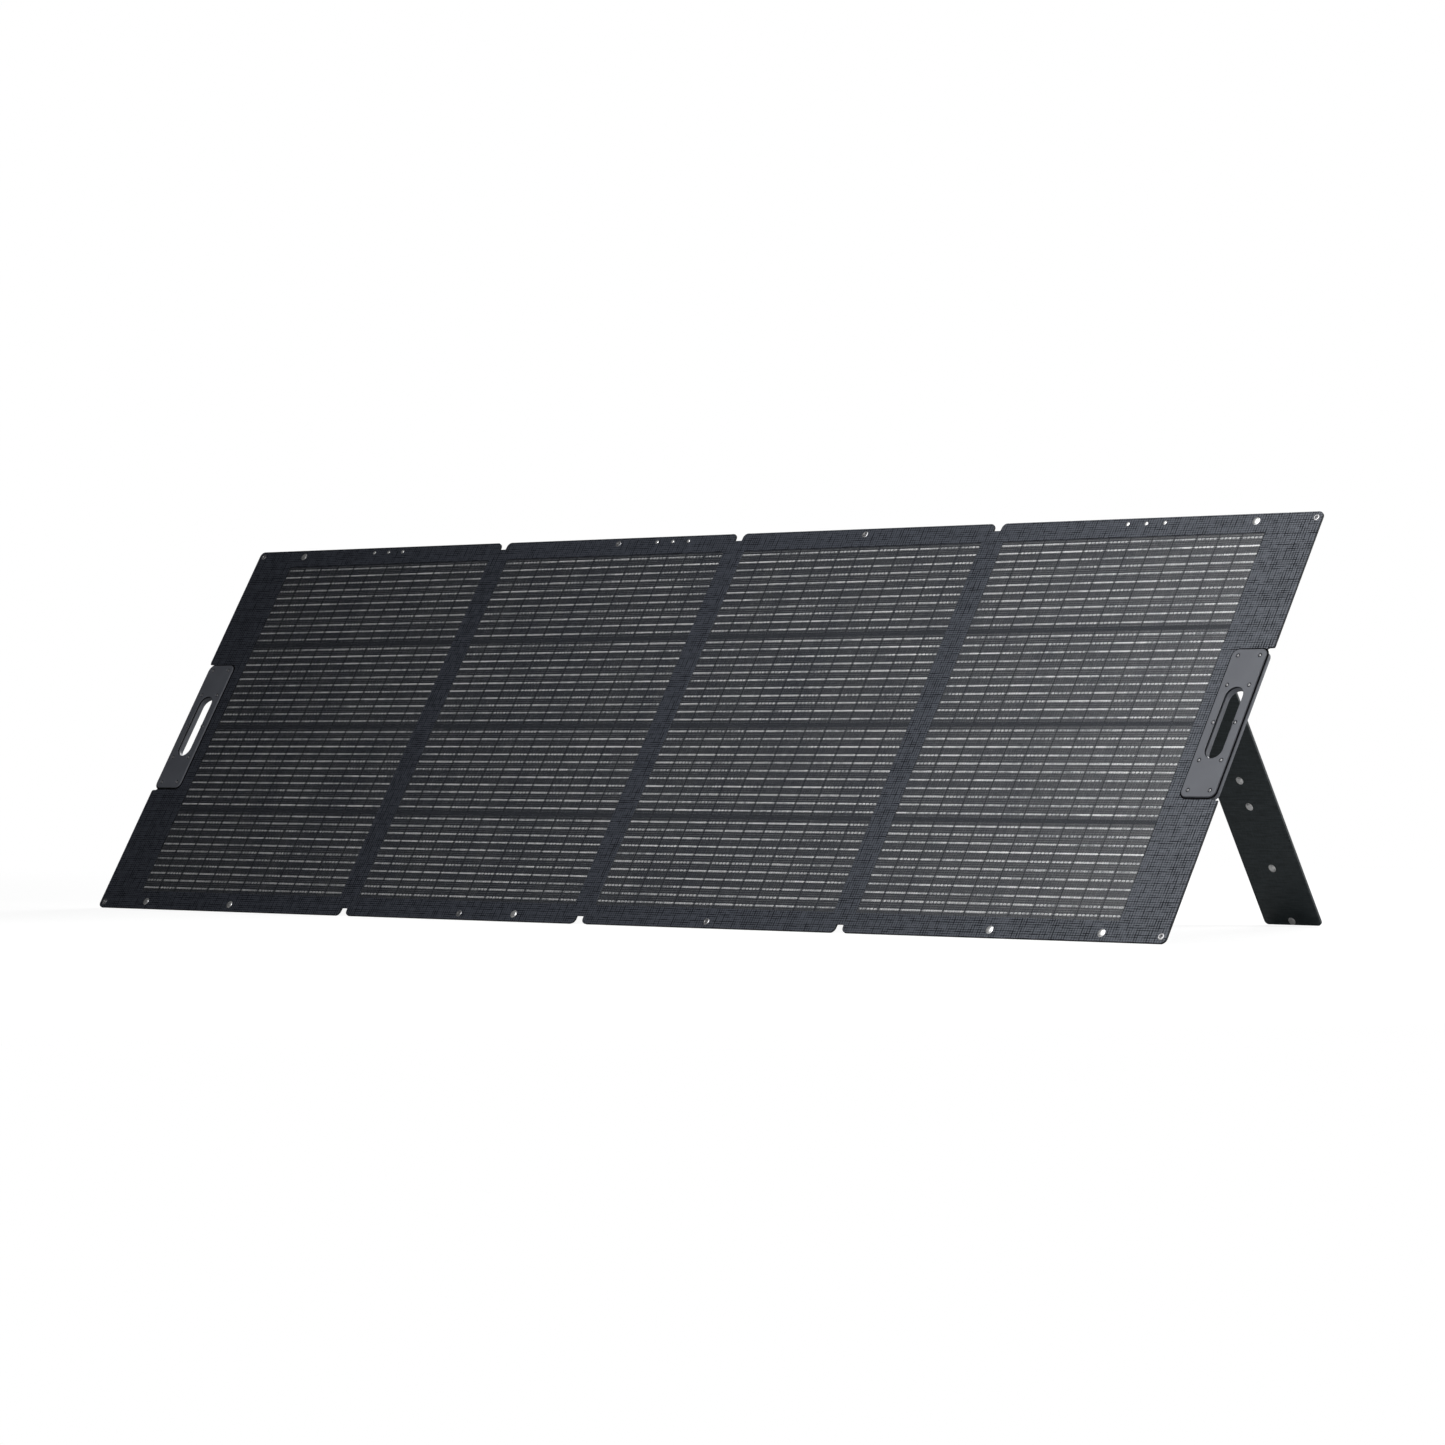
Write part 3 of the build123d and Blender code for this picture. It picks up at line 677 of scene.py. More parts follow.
def build_panel(number):
    """Face sheet, back fabric, cover film, wafers, ribbons, eyelets and snap caps of a panel."""
    body = f"panel_{number}"
    shape, eyelets = panel_outline(number), flat_spots(f"{body}_eyelets")
    holes = [circle(p.x, p.y, EYELET_HOLE) for p in eyelets]
    if number in (1, 4):
        holes.append(finger_slot("left" if number == 1 else "right", SLOT_MARGIN))
    film = f"{body}_cover_film"
    film_low, film_high = flat_box(film)
    window = inset_box(film, 1 * MM, WINDOW_LAP - WINDOW_GAP)
    plate_piece(
        f"{body}_face", "face_weave", body, f"{body}_face_sheet", [FACE_WEAVE, EDGE],
        (shape, holes + [window], BOARD_TOP, 0, 0.25 * MM),
    )
    plate_piece(
        f"{body}_back", "back_weave", body, f"{body}_back_fabric", [BACK_WEAVE, EDGE],
        (shape, holes, REAR, BOARD_BACK, 0.2 * MM),
    )
    plate_piece(
        f"{body}_film", "cover_film", body, film, [FILM],
        (inset_box(film, 0.8 * MM, WINDOW_LAP), [], film_low.z, film_high.z, 0.1 * MM, 1),
    )
    build_wafers(body)
    build_ribbons(body)
    turned_piece(f"{body}_eyelet_rings", body, f"{body}_eyelets", EYELET, eyelet_profile(), eyelets, 32)
    if f"{body}_snaps" in frame["nodes"]:
        snap_caps(f"{body}_snap_caps", body, f"{body}_snaps", 0, REAR)


WAFER_T, WAFER_LAP = 0.2 * MM, 0.35 * MM
PADS, BAR_SHARE = 5, 0.6
RIBBON_END, WIRE_HALF, WIRE_T = 1.5 * MM, 0.2 * MM, 0.08 * MM


def build_wafers(body):
    """Thin wafers with cut corners."""
    bm = bmesh.new()
    low = flat_box(f"{body}_cells")[0].z
    w, h, cut = CELL_W / 2 + WAFER_LAP, CELL_H / 2, CELL_CUT
    shape = []
    for sx, sy in ((-1, -1), (1, -1), (1, 1), (-1, 1)):
        near = [(sx * w, sy * (h - cut)), (sx * (w - cut), sy * h)]
        shape += near if sx * sy > 0 else near[::-1]
    for spot in flat_spots(f"{body}_cells"):
        add_flat_shape(bm, [(spot.x + x, spot.y + y) for x, y in reversed(shape)], low, low + WAFER_T)
    make_piece(f"{body}_wafers", body, f"{body}_cells", bm, [CELL], smooth=False)


def ribbon_stations(start, end, columns):
    """(x, half width, raised or not) along a ribbon: a bar or a row of pads on each cell, and a
    thin wire low in the gap between two cells."""
    stations = [(start, 0.3 * MM, False)]
    pitch = (CELL_W - 2 * RIBBON_END) / PADS
    for column in columns:
        left = column - CELL_W / 2 + RIBBON_END
        if rng.random() < BAR_SHARE:
            slim = rng.uniform(1.3, 1.6) * MM
            for k in range(PADS + 1):
                stations.append((left + k * pitch, slim, True))
                if k < PADS:
                    stations.append((left + (k + 0.5) * pitch, slim + 0.3 * MM, True))
        else:
            for k in range(PADS):
                x = left + (k + 0.5) * pitch
                for offset, half in ((-0.45, 0.2), (-0.24, 1.8), (0.24, 1.8), (0.45, 0.2)):
                    stations.append((x + offset * pitch, half * MM, True))
        for after in (-1.0 * MM, 3.8 * MM):
            stations.append((column + CELL_W / 2 + after, WIRE_HALF, False))
    stations[-1] = (end, WIRE_HALF, False)
    return stations


def build_ribbons(body):
    """Tinned ribbons over the cells, three-sided, with their ridge on top."""
    bm = bmesh.new()
    low, high = flat_box(f"{body}_ribbons")
    columns = sorted({round(p.x, 4) for p in flat_spots(f"{body}_cells")})
    for spot in flat_spots(f"{body}_ribbons"):
        rows = []
        for x, half, raised in ribbon_stations(low.x, high.x, columns):
            crest = high.z if raised else low.z + WIRE_T
            corners = ((-half, low.z), (half, low.z), (0, crest))
            rows.append([bm.verts.new((x, spot.y + y, z)) for y, z in corners])
        join_rings(bm, rows)
    make_piece(f"{body}_busbars", body, f"{body}_ribbons", bm, [RIBBON])


# ---------------------------------------------------------------- folds
FOLD_LAP, FOLD_PROUD, FOLD_COLUMNS, FOLD_ROWS = 1.2 * MM, 0.05 * MM, 36, 40
THINNING, THINNING_RUN = 1.5 * MM, 4 * MM
NARROW_NOTCH = 4 * MM


def smooth_step(t):
    t = max(0.0, min(1.0, t))
    return t * t * (3 - 2 * t)


def notched_end(x, half_strip):
    """How far a fold strip's end is cut back at a distance from the fold."""
    if x < NOTCH_HALF:
        return NOTCH_DEPTH
    if half_strip < NOTCH_HALF + NOTCH_CORNER:
        return NOTCH_DEPTH - NARROW_NOTCH
    over = max(NOTCH_HALF + NOTCH_CORNER - x, 0)
    return NOTCH_CORNER - math.sqrt(NOTCH_CORNER**2 - over**2)


def build_fold(name, fold_x, half):
    """A soft strip across a fold, thinner behind, between its two panels."""
    columns = [(half + FOLD_LAP) * (2 * i / FOLD_COLUMNS - 1) for i in range(FOLD_COLUMNS + 1)]
    if half > NOTCH_HALF:
        columns += [side * NOTCH_HALF + off * MM for side in (-1, 1) for off in (-0.05, 0.05)]
    bm = bmesh.new()
    rings = []
    for x in sorted(columns):
        cut = notched_end(abs(x), half)
        soft = smooth_step((half - abs(x)) / THINNING_RUN)
        up = [cut + (HEIGHT - 2 * cut) * r / FOLD_ROWS for r in range(FOLD_ROWS + 1)]
        back = REAR - FOLD_PROUD + THINNING * soft
        spots = [(y, FOLD_PROUD) for y in up] + [(y, back) for y in reversed(up)]
        rings.append([bm.verts.new((fold_x + x, *spot)) for spot in spots])
    join_rings(bm, rings, strip=True)
    strip = make_piece(name, None, None, bm, [FACE_WEAVE, EDGE, BACK_WEAVE], edge_angle=50)
    for polygon in strip.data.polygons:
        if polygon.normal.dot(NORMAL) < -0.5:
            polygon.material_index = 2
    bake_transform(strip)


# ---------------------------------------------------------------- handles
# SCREW_WELL is the radius of the painted shade disc in each screw recess.
SCREW_RECESS, SCREW_WELL = 3.5 * MM, 3.45 * MM
PLATE_ROUND, PLATE_SPLIT = 1.5 * MM, 1.7 * MM
SHELL_ROUND, COLLAR_WALL, COLLAR_LAP = 2.4 * MM, 2.9 * MM, 0.6 * MM


def end_rim(side, outline, shrink):
    """The part of a handle's outline that lies beyond the laminate."""
    out = -1 if side == "left" else 1
    inner = max(out * p.x for p in outline) - 5.2 * MM
    arc = sorted((p for p in outline if out * p.x > inner), key=lambda p: p.y)
    loop = [Vector((out * inner, arc[0].y))]
    loop += [Vector((p.x - out * shrink, p.y)) for p in arc]
    loop.append(Vector((out * inner, arc[-1].y)))
    return loop if out > 0 else loop[::-1]


def darken_slot(piece, side):
    """Paints the upright walls of the finger slot near-black: painted shade inside the slot."""
    slot = finger_slot(side, 2.4 * MM)
    (low_x, low_y), (high_x, high_y) = ([pick(p[i] for p in slot) for i in (0, 1)] for pick in (min, max))
    piece.data.materials.append(PAINTED_SHADE)
    for polygon in piece.data.polygons:
        middle = TO_FLAT @ polygon.center
        inside = low_x < middle.x < high_x and low_y < middle.y < high_y
        if inside and abs(polygon.normal.dot(NORMAL)) < 0.6:
            polygon.material_index = 1


def build_handle(side):
    """Front plate and back shell, the screws, and painted shade: a near-black filler in the gap between
    them, a shadow ring round the plate, discs in the screw wells and the slot's walls.
    """
    body = "panel_1" if side == "left" else "panel_4"
    outline = handle_outline(side)
    top = flat_box(f"{side}_handle_front_plate")[1].z
    back_low = flat_box(f"{side}_handle_back_shell")[0].z
    screws = flat_spots(f"{side}_handle_screws")
    screw_top = flat_box(f"{side}_handle_screws")[1].z
    recesses = [circle(p.x, p.y, SCREW_RECESS) for p in screws]
    upper_holes = [finger_slot(side, 0.1 * MM), *recesses]
    plate = plate_piece(
        f"handle_{side}_plate", "handle_plastic", body, f"{side}_handle_front_plate", [HANDLE],
        (outline, [finger_slot(side)], 0.3 * MM, top - PLATE_SPLIT, 0.25 * MM),
        (handle_outline(side, 0.1 * MM), upper_holes, top - 2 * PLATE_SPLIT, top, PLATE_ROUND, 4),
    )
    # Painted shade on the walls of the finger slot.
    darken_slot(plate, side)
    slot = finger_slot(side, -COLLAR_LAP)
    plate_piece(
        f"handle_{side}_shell", "handle_plastic", body, f"{side}_handle_back_shell", [HANDLE],
        (outline, [slot], back_low, REAR + 0.02 * MM, SHELL_ROUND, 5),
        (finger_slot(side, COLLAR_WALL - COLLAR_LAP), [slot], REAR - 3 * MM, -1.4 * MM, 0.7 * MM, 3),
    )
    # Painted shade: a filler in the gap beyond the laminate, a shadow ring round the plate, and discs in
    # the screw wells.
    wells = [circle(p.x, p.y, SCREW_WELL) for p in screws]
    plate_piece(
        f"handle_{side}_painted_shadows", "black_plastic", body, None, [PAINTED_SHADE],
        (end_rim(side, outline, 1.3 * MM), [], REAR - 0.5 * MM, 0.5 * MM, 0.2 * MM),
        (handle_outline(side, -3 * MM), [finger_slot(side, 0.9 * MM)], 0.02 * MM, 0.6 * MM, 0.2 * MM),
        *[(well, [], top - 2.4 * MM, top - 1.5 * MM, 0.05 * MM, 1) for well in wells],
    )
    pan_head = mm([
        (0, -1.1), (1.15, -1.1), (1.15, 0.25), (1.5, 0.3), (2.1, 0.05), (2.4, -0.5), (2.4, -1.4), (0, -1.4)
    ])
    turned_piece(
        f"handle_{side}_screw_heads", body, f"{side}_handle_screws", SCREW, pan_head, screws, 18,
        screw_top - 0.3 * MM,
    )


# ---------------------------------------------------------------- stands
STAND_W, STAND_T, STAND_CORNER = 125 * MM, 5.5 * MM, 8 * MM
WEBBING_T, WRAP_R, TAIL = 0.9 * MM, 3.9 * MM, 34 * MM
WEBBING_HALF = STAND_W / 2 - 3 * MM
FLAP_STEPS, WRAP_STEPS, TAIL_STEPS = 8, 14, 12


def build_stand(side):
    """A leg: blade with round foot corners and top bead, caps, rivets, and its hinge strip."""
    body, panel = f"stand_{side}", STANDS[side]
    matrix, hinge, opened = leg_matrix(side)
    into_leg = matrix.inverted()
    foot = flat_box(f"{body}_board", into_leg)[0].y
    low, high = hinge.z - STAND_T / 2, hinge.z + STAND_T / 2
    left, right = hinge.x - STAND_W / 2, hinge.x + STAND_W / 2
    blade = rounded([
        (left, foot, STAND_CORNER), (right, foot, STAND_CORNER),
        (right, hinge.y, 0.4 * MM), (left, hinge.y, 0.4 * MM),
    ])
    bm = bmesh.new()
    add_plate(bm, blade, [], low, high, 1.1 * MM, 3)
    bead = Matrix.Translation((left + 0.3 * MM, hinge.y, hinge.z)) @ Matrix.Rotation(math.pi / 2, 4, "Y")
    length = STAND_W / MM - 0.6
    profile = [(0, 0), (2.2, 0), (2.7, 0.5), (2.7, length - 0.5), (2.2, length), (0, length)]
    add_lathe(bm, mm(profile), bead, 20)
    make_piece(f"{body}_leg", body, f"{body}_board", bm, [LEG, LEG_EDGE], matrix)
    snap_caps(f"{body}_caps", body, f"{body}_snaps", high, low, into_leg, matrix)
    rivet = cap_profile(4 * MM, 1.2 * MM, 0, flat_box(f"{body}_hinge_flap")[0].z, post=1.6 * MM)
    rivets = f"{body}_rivets"
    turned_piece(f"{body}_rivet_heads", panel, rivets, NICKEL, rivet, flat_spots(rivets), 24)
    build_hinge_strip(hinge, opened, body)
    ends = [hinge.x + sign * (WEBBING_HALF - 4 * MM) for sign in (-1, 1)]
    rows = [[Vector((x, hinge.y - TAIL + up * MM)) for x in ends] for up in (3, 7, 24)]
    stitched_piece(f"{body}_seams", "back_weave", rows, hinge.z - WRAP_R - WEBBING_T / 2, matrix, body)


def build_hinge_strip(hinge, opened, body):
    """Webbing from the riveted flap, round the leg's top bead, and down the leg's rear."""
    top = HEIGHT - 2.5 * MM - hinge.y
    reach_z = REAR - 0.5 * MM - WEBBING_T / 2 - hinge.z
    path = [Vector((top + (0.5 * MM - top) * k / FLAP_STEPS, reach_z)) for k in range(FLAP_STEPS + 1)]
    end_angle, start_angle = opened - math.pi / 2, math.pi / 2 - 0.15
    for k in range(WRAP_STEPS + 1):
        t = k / WRAP_STEPS
        a = start_angle + (end_angle - start_angle) * t
        r = WRAP_R + (reach_z - WRAP_R) * (1 - t) ** 2
        path.append(Vector((r * math.cos(a), r * math.sin(a))))
    last = path[-1]
    along = Vector((-math.cos(opened), -math.sin(opened)))
    path += [last + along * TAIL * k / TAIL_STEPS for k in range(1, TAIL_STEPS + 1)]
    across = [WEBBING_HALF * (k / 6 - 1) for k in range(13)]
    bm = bmesh.new()
    rings, unrolled = [], {}
    run = 0.0
    for i, spot in enumerate(path):
        before, after = path[max(i - 1, 0)], path[min(i + 1, len(path) - 1)]
        run += (spot - before).length
        ahead = (after - before).normalized()
        lift = Vector((-ahead.y, ahead.x)) * WEBBING_T / 2
        ring = []
        for face, row in ((1, across), (-1, across[::-1])):
            y, z = hinge.y + spot.x + face * lift.x, hinge.z + spot.y + face * lift.y
            for x in row:
                ring.append(bm.verts.new((hinge.x + x, y, z)))
                unrolled[ring[-1]] = (hinge.x + x, run)
        rings.append(ring)
    join_rings(bm, rings, strip=True)
    strip = make_piece(
        f"{body}_hinge_strip", None, None, bm, [BACK_WEAVE], unrolled=unrolled
    )
    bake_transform(strip)
    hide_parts(f"{body}_hinge_flap")


# ---------------------------------------------------------------- junction box and leads
LEAD_HEIGHT = sum(corner.z for corner in flat_box("output_leads")) / 2
GRIP_RIB = mm([(0, -4), (0.7, -3.6), (0.7, 3.6), (0, 4)])


def black_piece(name, node, bm):
    make_piece(name, "panel_3", node, bm, [BLACK])


def add_ribs(bm, axis, count, radius, height, profile):
    """Adds small round ribs around a turned part."""
    for k in range(count):
        spot = Matrix.Rotation(2 * math.pi * k / count, 4, "Z") @ Matrix.Translation((radius, 0, height))
        add_lathe(bm, profile, axis @ spot, 8)


def build_junction_box():
    """Tray, lid with a raised field, and two ribbed glands."""
    tray, lid = "junction_box_tray", "junction_box_lid"
    middle, size = flat_rect(tray)
    low, top = flat_box(tray)[0], flat_box(lid)[0].z
    bm = bmesh.new()
    add_plate(bm, inset_box(tray, 8 * MM), [], low.z, REAR, 0.8 * MM, 3)
    add_plate(bm, inset_box(tray, 8 * MM, 0.1 * MM), [], REAR - 2.2 * MM, REAR, 0.3 * MM)
    black_piece("junction_tray", tray, bm)

    bm = bmesh.new()
    screws = [circle(p.x, p.y, 3 * MM, 20) for p in flat_spots("junction_box_screws")]
    add_plate(bm, inset_box(tray, 7.7 * MM, 0.3 * MM), screws, top, low.z - 0.15 * MM, 0.8 * MM, 3)
    field, hollow = (inset_box(tray, r * MM, x * MM, y * MM) for r, x, y in ((4, 20, 17), (3, 22, 19)))
    ribs = [(middle[0], middle[1] + k * 6 * MM, size[0] - 56 * MM, 1.4 * MM) for k in range(-2, 3)]
    for outline, holes in [(field, [hollow])] + [(rounded_box(*rib, 0.6 * MM), []) for rib in ribs]:
        add_plate(bm, outline, holes, top - 0.4 * MM, top + 0.4 * MM, 0.25 * MM)
    black_piece("junction_lid", lid, bm)

    gland = mm([
        (3.1, 13), (4.2, 12.6), (5.3, 11.6), (5.9, 9.5), (5.9, 3), (6.6, 2.6),
        (6.6, 0.2), (4.4, 0), (4.4, -2), (3.1, -2), (3.1, 13),
    ])
    bm = bmesh.new()
    for x in lead_entries():
        axis = Matrix.Translation((x, low.y, LEAD_HEIGHT)) @ Matrix.Rotation(math.pi / 2, 4, "X")
        add_lathe(bm, gland, axis, 30)
        add_ribs(bm, axis, 10, 5.9 * MM, 6.2 * MM, mm([(0, -3), (0.55, -2.7), (0.55, 2.7), (0, 3)]))
    black_piece("lead_glands", "cable_glands", bm)


def lead_entries():
    """X of the two leads where they leave the box."""
    low, high = flat_box("cable_glands")
    radius = (high.z - low.z) / 2
    return low.x + radius, high.x - radius


def lead_path(start, end, steps=40):
    """A lead's middle line: straight out of the gland, an S-bend, straight into its connector."""
    pull = Vector((0, abs(start.y - end.y) * 0.42, 0))
    path = []
    for i in range(steps + 1):
        t = i / steps
        u = 1 - t
        bend = (start - pull) * 3 * u * u * t + (end + pull) * 3 * u * t * t
        path.append(start * u**3 + bend + end * t**3)
    return path


def build_leads():
    """Two leads that end in a socket and a plug, both with grip ribs."""
    wall = flat_box("junction_box_tray")[0].y
    socket = [
        (0, 0), (3.6, 0), (4.2, 1), (4.4, 8), (5.6, 9), (6.5, 11), (6.5, 27), (7.2, 28), (8, 29), (8, 31),
        (7.3, 31.5), (7.3, 33), (8, 33.5), (8, 45), (7.6, 46), (4.4, 46), (4.2, 44), (4.2, 30), (0, 30),
    ]
    plug = [
        (0, 0), (3.6, 0), (4.2, 1), (4.4, 6), (6, 7), (8, 9), (8, 12), (7.3, 12.5), (7.3, 14), (8, 14.5),
        (8, 24), (7.4, 25), (6.5, 26), (6.5, 44), (6, 46), (4, 46.4), (4, 60), (3.4, 61), (0, 61),
    ]
    bm = bmesh.new()
    for x, node, profile, ribs in zip(
        lead_entries(), ("connector_socket", "connector_plug"), (socket, plug), (39, 19)
    ):
        low, high = flat_box(node)
        mouth = Vector(((low.x + high.x) / 2, high.y, LEAD_HEIGHT))
        start, end = Vector((x, wall - 8 * MM, LEAD_HEIGHT)), mouth - Vector((0, 3 * MM, 0))
        add_tube(bm, lead_path(start, end), 3 * MM, 16)
        scale = (high.y - low.y) / max(h for r, h in profile)
        turn = Matrix.Translation(mouth) @ Matrix.Rotation(math.pi / 2, 4, "X")
        shell = bmesh.new()
        add_lathe(shell, [(r * MM, h * scale) for r, h in profile], turn, 32)
        add_ribs(shell, turn, 8, 7.3 * MM, ribs * scale, GRIP_RIB)
        black_piece(f"{node}_body", node, shell)
    make_piece("leads", "panel_3", "output_leads", bm, [JACKET])


# ---------------------------------------------------------------- cable pocket
POCKET_COLUMNS, POCKET_ROWS, POCKET_INSET = 76, 56, 2 * MM
STRIDE = POCKET_COLUMNS + 1
ZIP_MARGIN, POCKET_SLOPE, CLOTH_FRAMES = 12.5 * MM, 24 * MM, 25


def draped(spots, cells, pinned):
    """Where the pocket's front cloth hangs, from a simulation with its pinned points held."""
    front = bpy.data.meshes.new("pocket_front")
    front.from_pydata(spots, [], cells)
    front.transform(FLAT)
    cloth = bpy.data.objects.new("pocket_front", front)
    bpy.context.scene.collection.objects.link(cloth)
    cloth.vertex_groups.new(name="pinned").add(pinned, 1.0, "REPLACE")
    sim = cloth.modifiers.new("cloth", "CLOTH")
    sim.settings.vertex_group_mass = "pinned"
    sim.settings.quality = 5
    sim.settings.mass = 0.15
    sim.settings.tension_stiffness = 30
    sim.settings.compression_stiffness = 30
    sim.settings.bending_stiffness = 0.6
    sim.settings.shrink_min = -0.035
    sim.settings.effector_weights.gravity = 0.6
    sim.collision_settings.use_collision = False
    for step in range(1, CLOTH_FRAMES + 1):
        bpy.context.scene.frame_set(step)
    graph = bpy.context.evaluated_depsgraph_get()
    done = bpy.data.meshes.new_from_object(cloth.evaluated_get(graph))
    bpy.context.scene.frame_set(1)
    moved = [TO_FLAT @ v.co for v in done.vertices]
    bpy.data.meshes.remove(done)
    bpy.data.objects.remove(cloth)
    bpy.data.meshes.remove(front)
    return moved


def build_pocket():
    """The pocket's front panel is simulated as cloth, then closed, bound, stitched and zipped."""
    low, high = flat_box("cable_pocket")
    zip_low, zip_high = flat_box("pocket_zip_tape")
    zip_y = (zip_low.y + zip_high.y) / 2
    crown, rim_z = low.z, REAR - 0.3 * MM
    width, height = high.x - low.x - 2 * POCKET_INSET, high.y - low.y - 2 * POCKET_INSET
    spots, pinned = [], []
    for i in range(STRIDE * (POCKET_ROWS + 1)):
        x = low.x + POCKET_INSET + width * (i % STRIDE) / POCKET_COLUMNS
        y = low.y + POCKET_INSET + height * (i // STRIDE) / POCKET_ROWS
        edge = min(x - low.x, high.x - x, y - low.y, high.y - y) - POCKET_INSET
        in_zip = abs(y - zip_y) < ZIP_MARGIN and zip_low.x - 2 * MM < x < zip_high.x + 2 * MM
        z = crown if in_zip else rim_z + (crown - rim_z) * smooth_step(edge / POCKET_SLOPE)
        spots.append(Vector((x, y, z)))
        if edge < 0.001 * MM or in_zip:
            pinned.append(i)
    corners = [r * STRIDE + c for r in range(POCKET_ROWS) for c in range(POCKET_COLUMNS)]
    cells = [(a, a + STRIDE, a + STRIDE + 1, a + 1) for a in corners]
    moved = draped(spots, cells, pinned)

    deepest, furthest = REAR - 0.4 * MM, 5 * MM
    bm = bmesh.new()
    over, under = [], []
    for spot, now in zip(spots, moved):
        shift = now - spot
        if shift.length > furthest:
            shift *= furthest / shift.length
        x, y, z = spot + shift
        over.append(bm.verts.new((x, y, min(deepest, max(z, crown - 1.2 * MM)))))
        under.append(bm.verts.new((x, y, REAR)))
    for cell in cells:
        bm.faces.new([over[i] for i in cell])
        bm.faces.new([under[i] for i in cell])
    last = STRIDE * POCKET_ROWS
    rim = [*range(POCKET_COLUMNS), *range(POCKET_COLUMNS, last + POCKET_COLUMNS, STRIDE)]
    rim += [*range(last + POCKET_COLUMNS, last, -1), *range(last, 0, -STRIDE)]
    for a, b in zip(rim, rim[1:] + rim[:1]):
        bm.faces.new((over[a], under[a], under[b], over[b]))
    make_piece("pocket_bag", "panel_3", "cable_pocket", bm, [NYLON], edge_angle=60)
    build_binding()
    build_zip(zip_low, zip_high, zip_y, crown)


def build_binding(tape=11 * MM, rise=1.5 * MM, hem=2.5 * MM):
    """Folded tape around the pocket's edge, with a row of stitches along both its hems."""
    outer, inner = inset_box("cable_pocket", 6 * MM), inset_box("cable_pocket", 3 * MM, tape)
    plate_piece(
        "pocket_binding", "pocket_fabric", "panel_3", None, [BACK_WEAVE],
        (outer, [inner], REAR - rise, REAR, 0.6 * MM),
    )
    loops = [inset_box("cable_pocket", max(5 * MM - gap, 1.5 * MM), gap) for gap in (hem, tape - hem)]
    stitched_piece("pocket_seams", "pocket_fabric", [loop + loop[:1] for loop in loops], REAR - rise)


def build_zip(low, high, zip_y, crown):
    """Two tapes, a row of teeth between them, end stops, stitches and the slider."""
    gap, edge, pitch = 2.2 * MM, 11.8 * MM, 1.5 * MM
    middle, length = (low.x + high.x) / 2, high.x - low.x
    tapes = [
        rounded_box(middle, zip_y + sign * (gap + edge) / 2, length, edge - gap, 0.8 * MM)
        for sign in (-1, 1)
    ]
    plate_piece(
        "zip_tapes", "pocket_fabric", "panel_3", "pocket_zip_tape", [BACK_WEAVE],
        *[(tape, [], crown - 0.7 * MM, crown + 0.1 * MM, 0.25 * MM) for tape in tapes],
    )

    bm = bmesh.new()
    for k in range(int((length - 8 * MM) / pitch)):
        y = zip_y + (0.9 if k % 2 else -0.9) * MM
        tooth = rounded_box(low.x + 4 * MM + k * pitch, y, 1.25 * MM, 3.6 * MM, 0.4 * MM)
        add_flat_shape(bm, tooth, crown - 0.95 * MM, crown - 0.05 * MM)
    for x in (low.x + 2 * MM, high.x - 2 * MM):
        stop = rounded_box(x, zip_y, 2.4 * MM, 5.4 * MM, 0.8 * MM)
        add_flat_shape(bm, stop, crown - 1.0 * MM, crown)
    make_piece("zip_teeth", "panel_3", None, bm, [TEETH], edge_angle=25)

    heights = [zip_y + sign * off * MM for sign in (-1, 1) for off in (5.2, 10.4)]
    rows = [[Vector((x, y)) for x in (low.x + 3 * MM, high.x - 3 * MM)] for y in heights]
    above = crown - 0.7 * MM
    stitched_piece("zip_seams", "pocket_fabric", rows, above, pitch=3.4 * MM, length=2.3 * MM)

    x = flat_rect("pocket_zip_slider")[0][0]
    back, front = (corner.z for corner in flat_box("pocket_zip_slider"))
    wing = [(-4, -6, 1.8), (4, -6, 1.8), (4.4, 2, 1.5), (2.6, 6, 1.5), (-2.6, 6, 1.5), (-4.4, 2, 1.5)]
    wings = rounded([(x + i * MM, zip_y + j * MM, radius * MM) for i, j, radius in wing])
    bridge, pull, eye, grip = (
        rounded_box(x, zip_y + y * MM, width * MM, height * MM, radius * MM)
        for y, width, height, radius in (
            (0, 2.4, 9, 1.1), (-15, 7, 32, 2.8), (-26, 3.4, 5, 1.5), (-15, 2.6, 10, 1.2)
        )
    )
    plate_piece(
        "zip_slider_pull", "fastener_metal", "zip_slider", "pocket_zip_slider", [SCREW],
        (wings, [], front - 1.7 * MM, front, 0.5 * MM, 3),
        (bridge, [], back + 0.9 * MM, front - 1.2 * MM, 0.5 * MM, 3),
        (pull, [eye, grip], back, back + 1.2 * MM, 0.4 * MM, 3),
    )


# ---------------------------------------------------------------- assembly
def paint(node, material):
    """Gives a carried-over CAD node its material."""
    target = frame["nodes"][node]
    target.data.materials.clear()
    target.data.materials.append(material)


for number in (1, 2, 3, 4):
    build_panel(number)
    paint(f"panel_{number}_board", BACKING)
build_fold("fold_left_strip", -FOLD_X, OUTER_HALF)
build_fold("fold_middle_strip", 0.0, MIDDLE_HALF)
build_fold("fold_right_strip", FOLD_X, OUTER_HALF)
for side in ("left", "right"):
    build_handle(side)
for side in STANDS:
    build_stand(side)
build_junction_box()
paint("junction_box_screws", SCREW)
paint("junction_box_terminals", BRASS)
build_leads()
build_pocket()


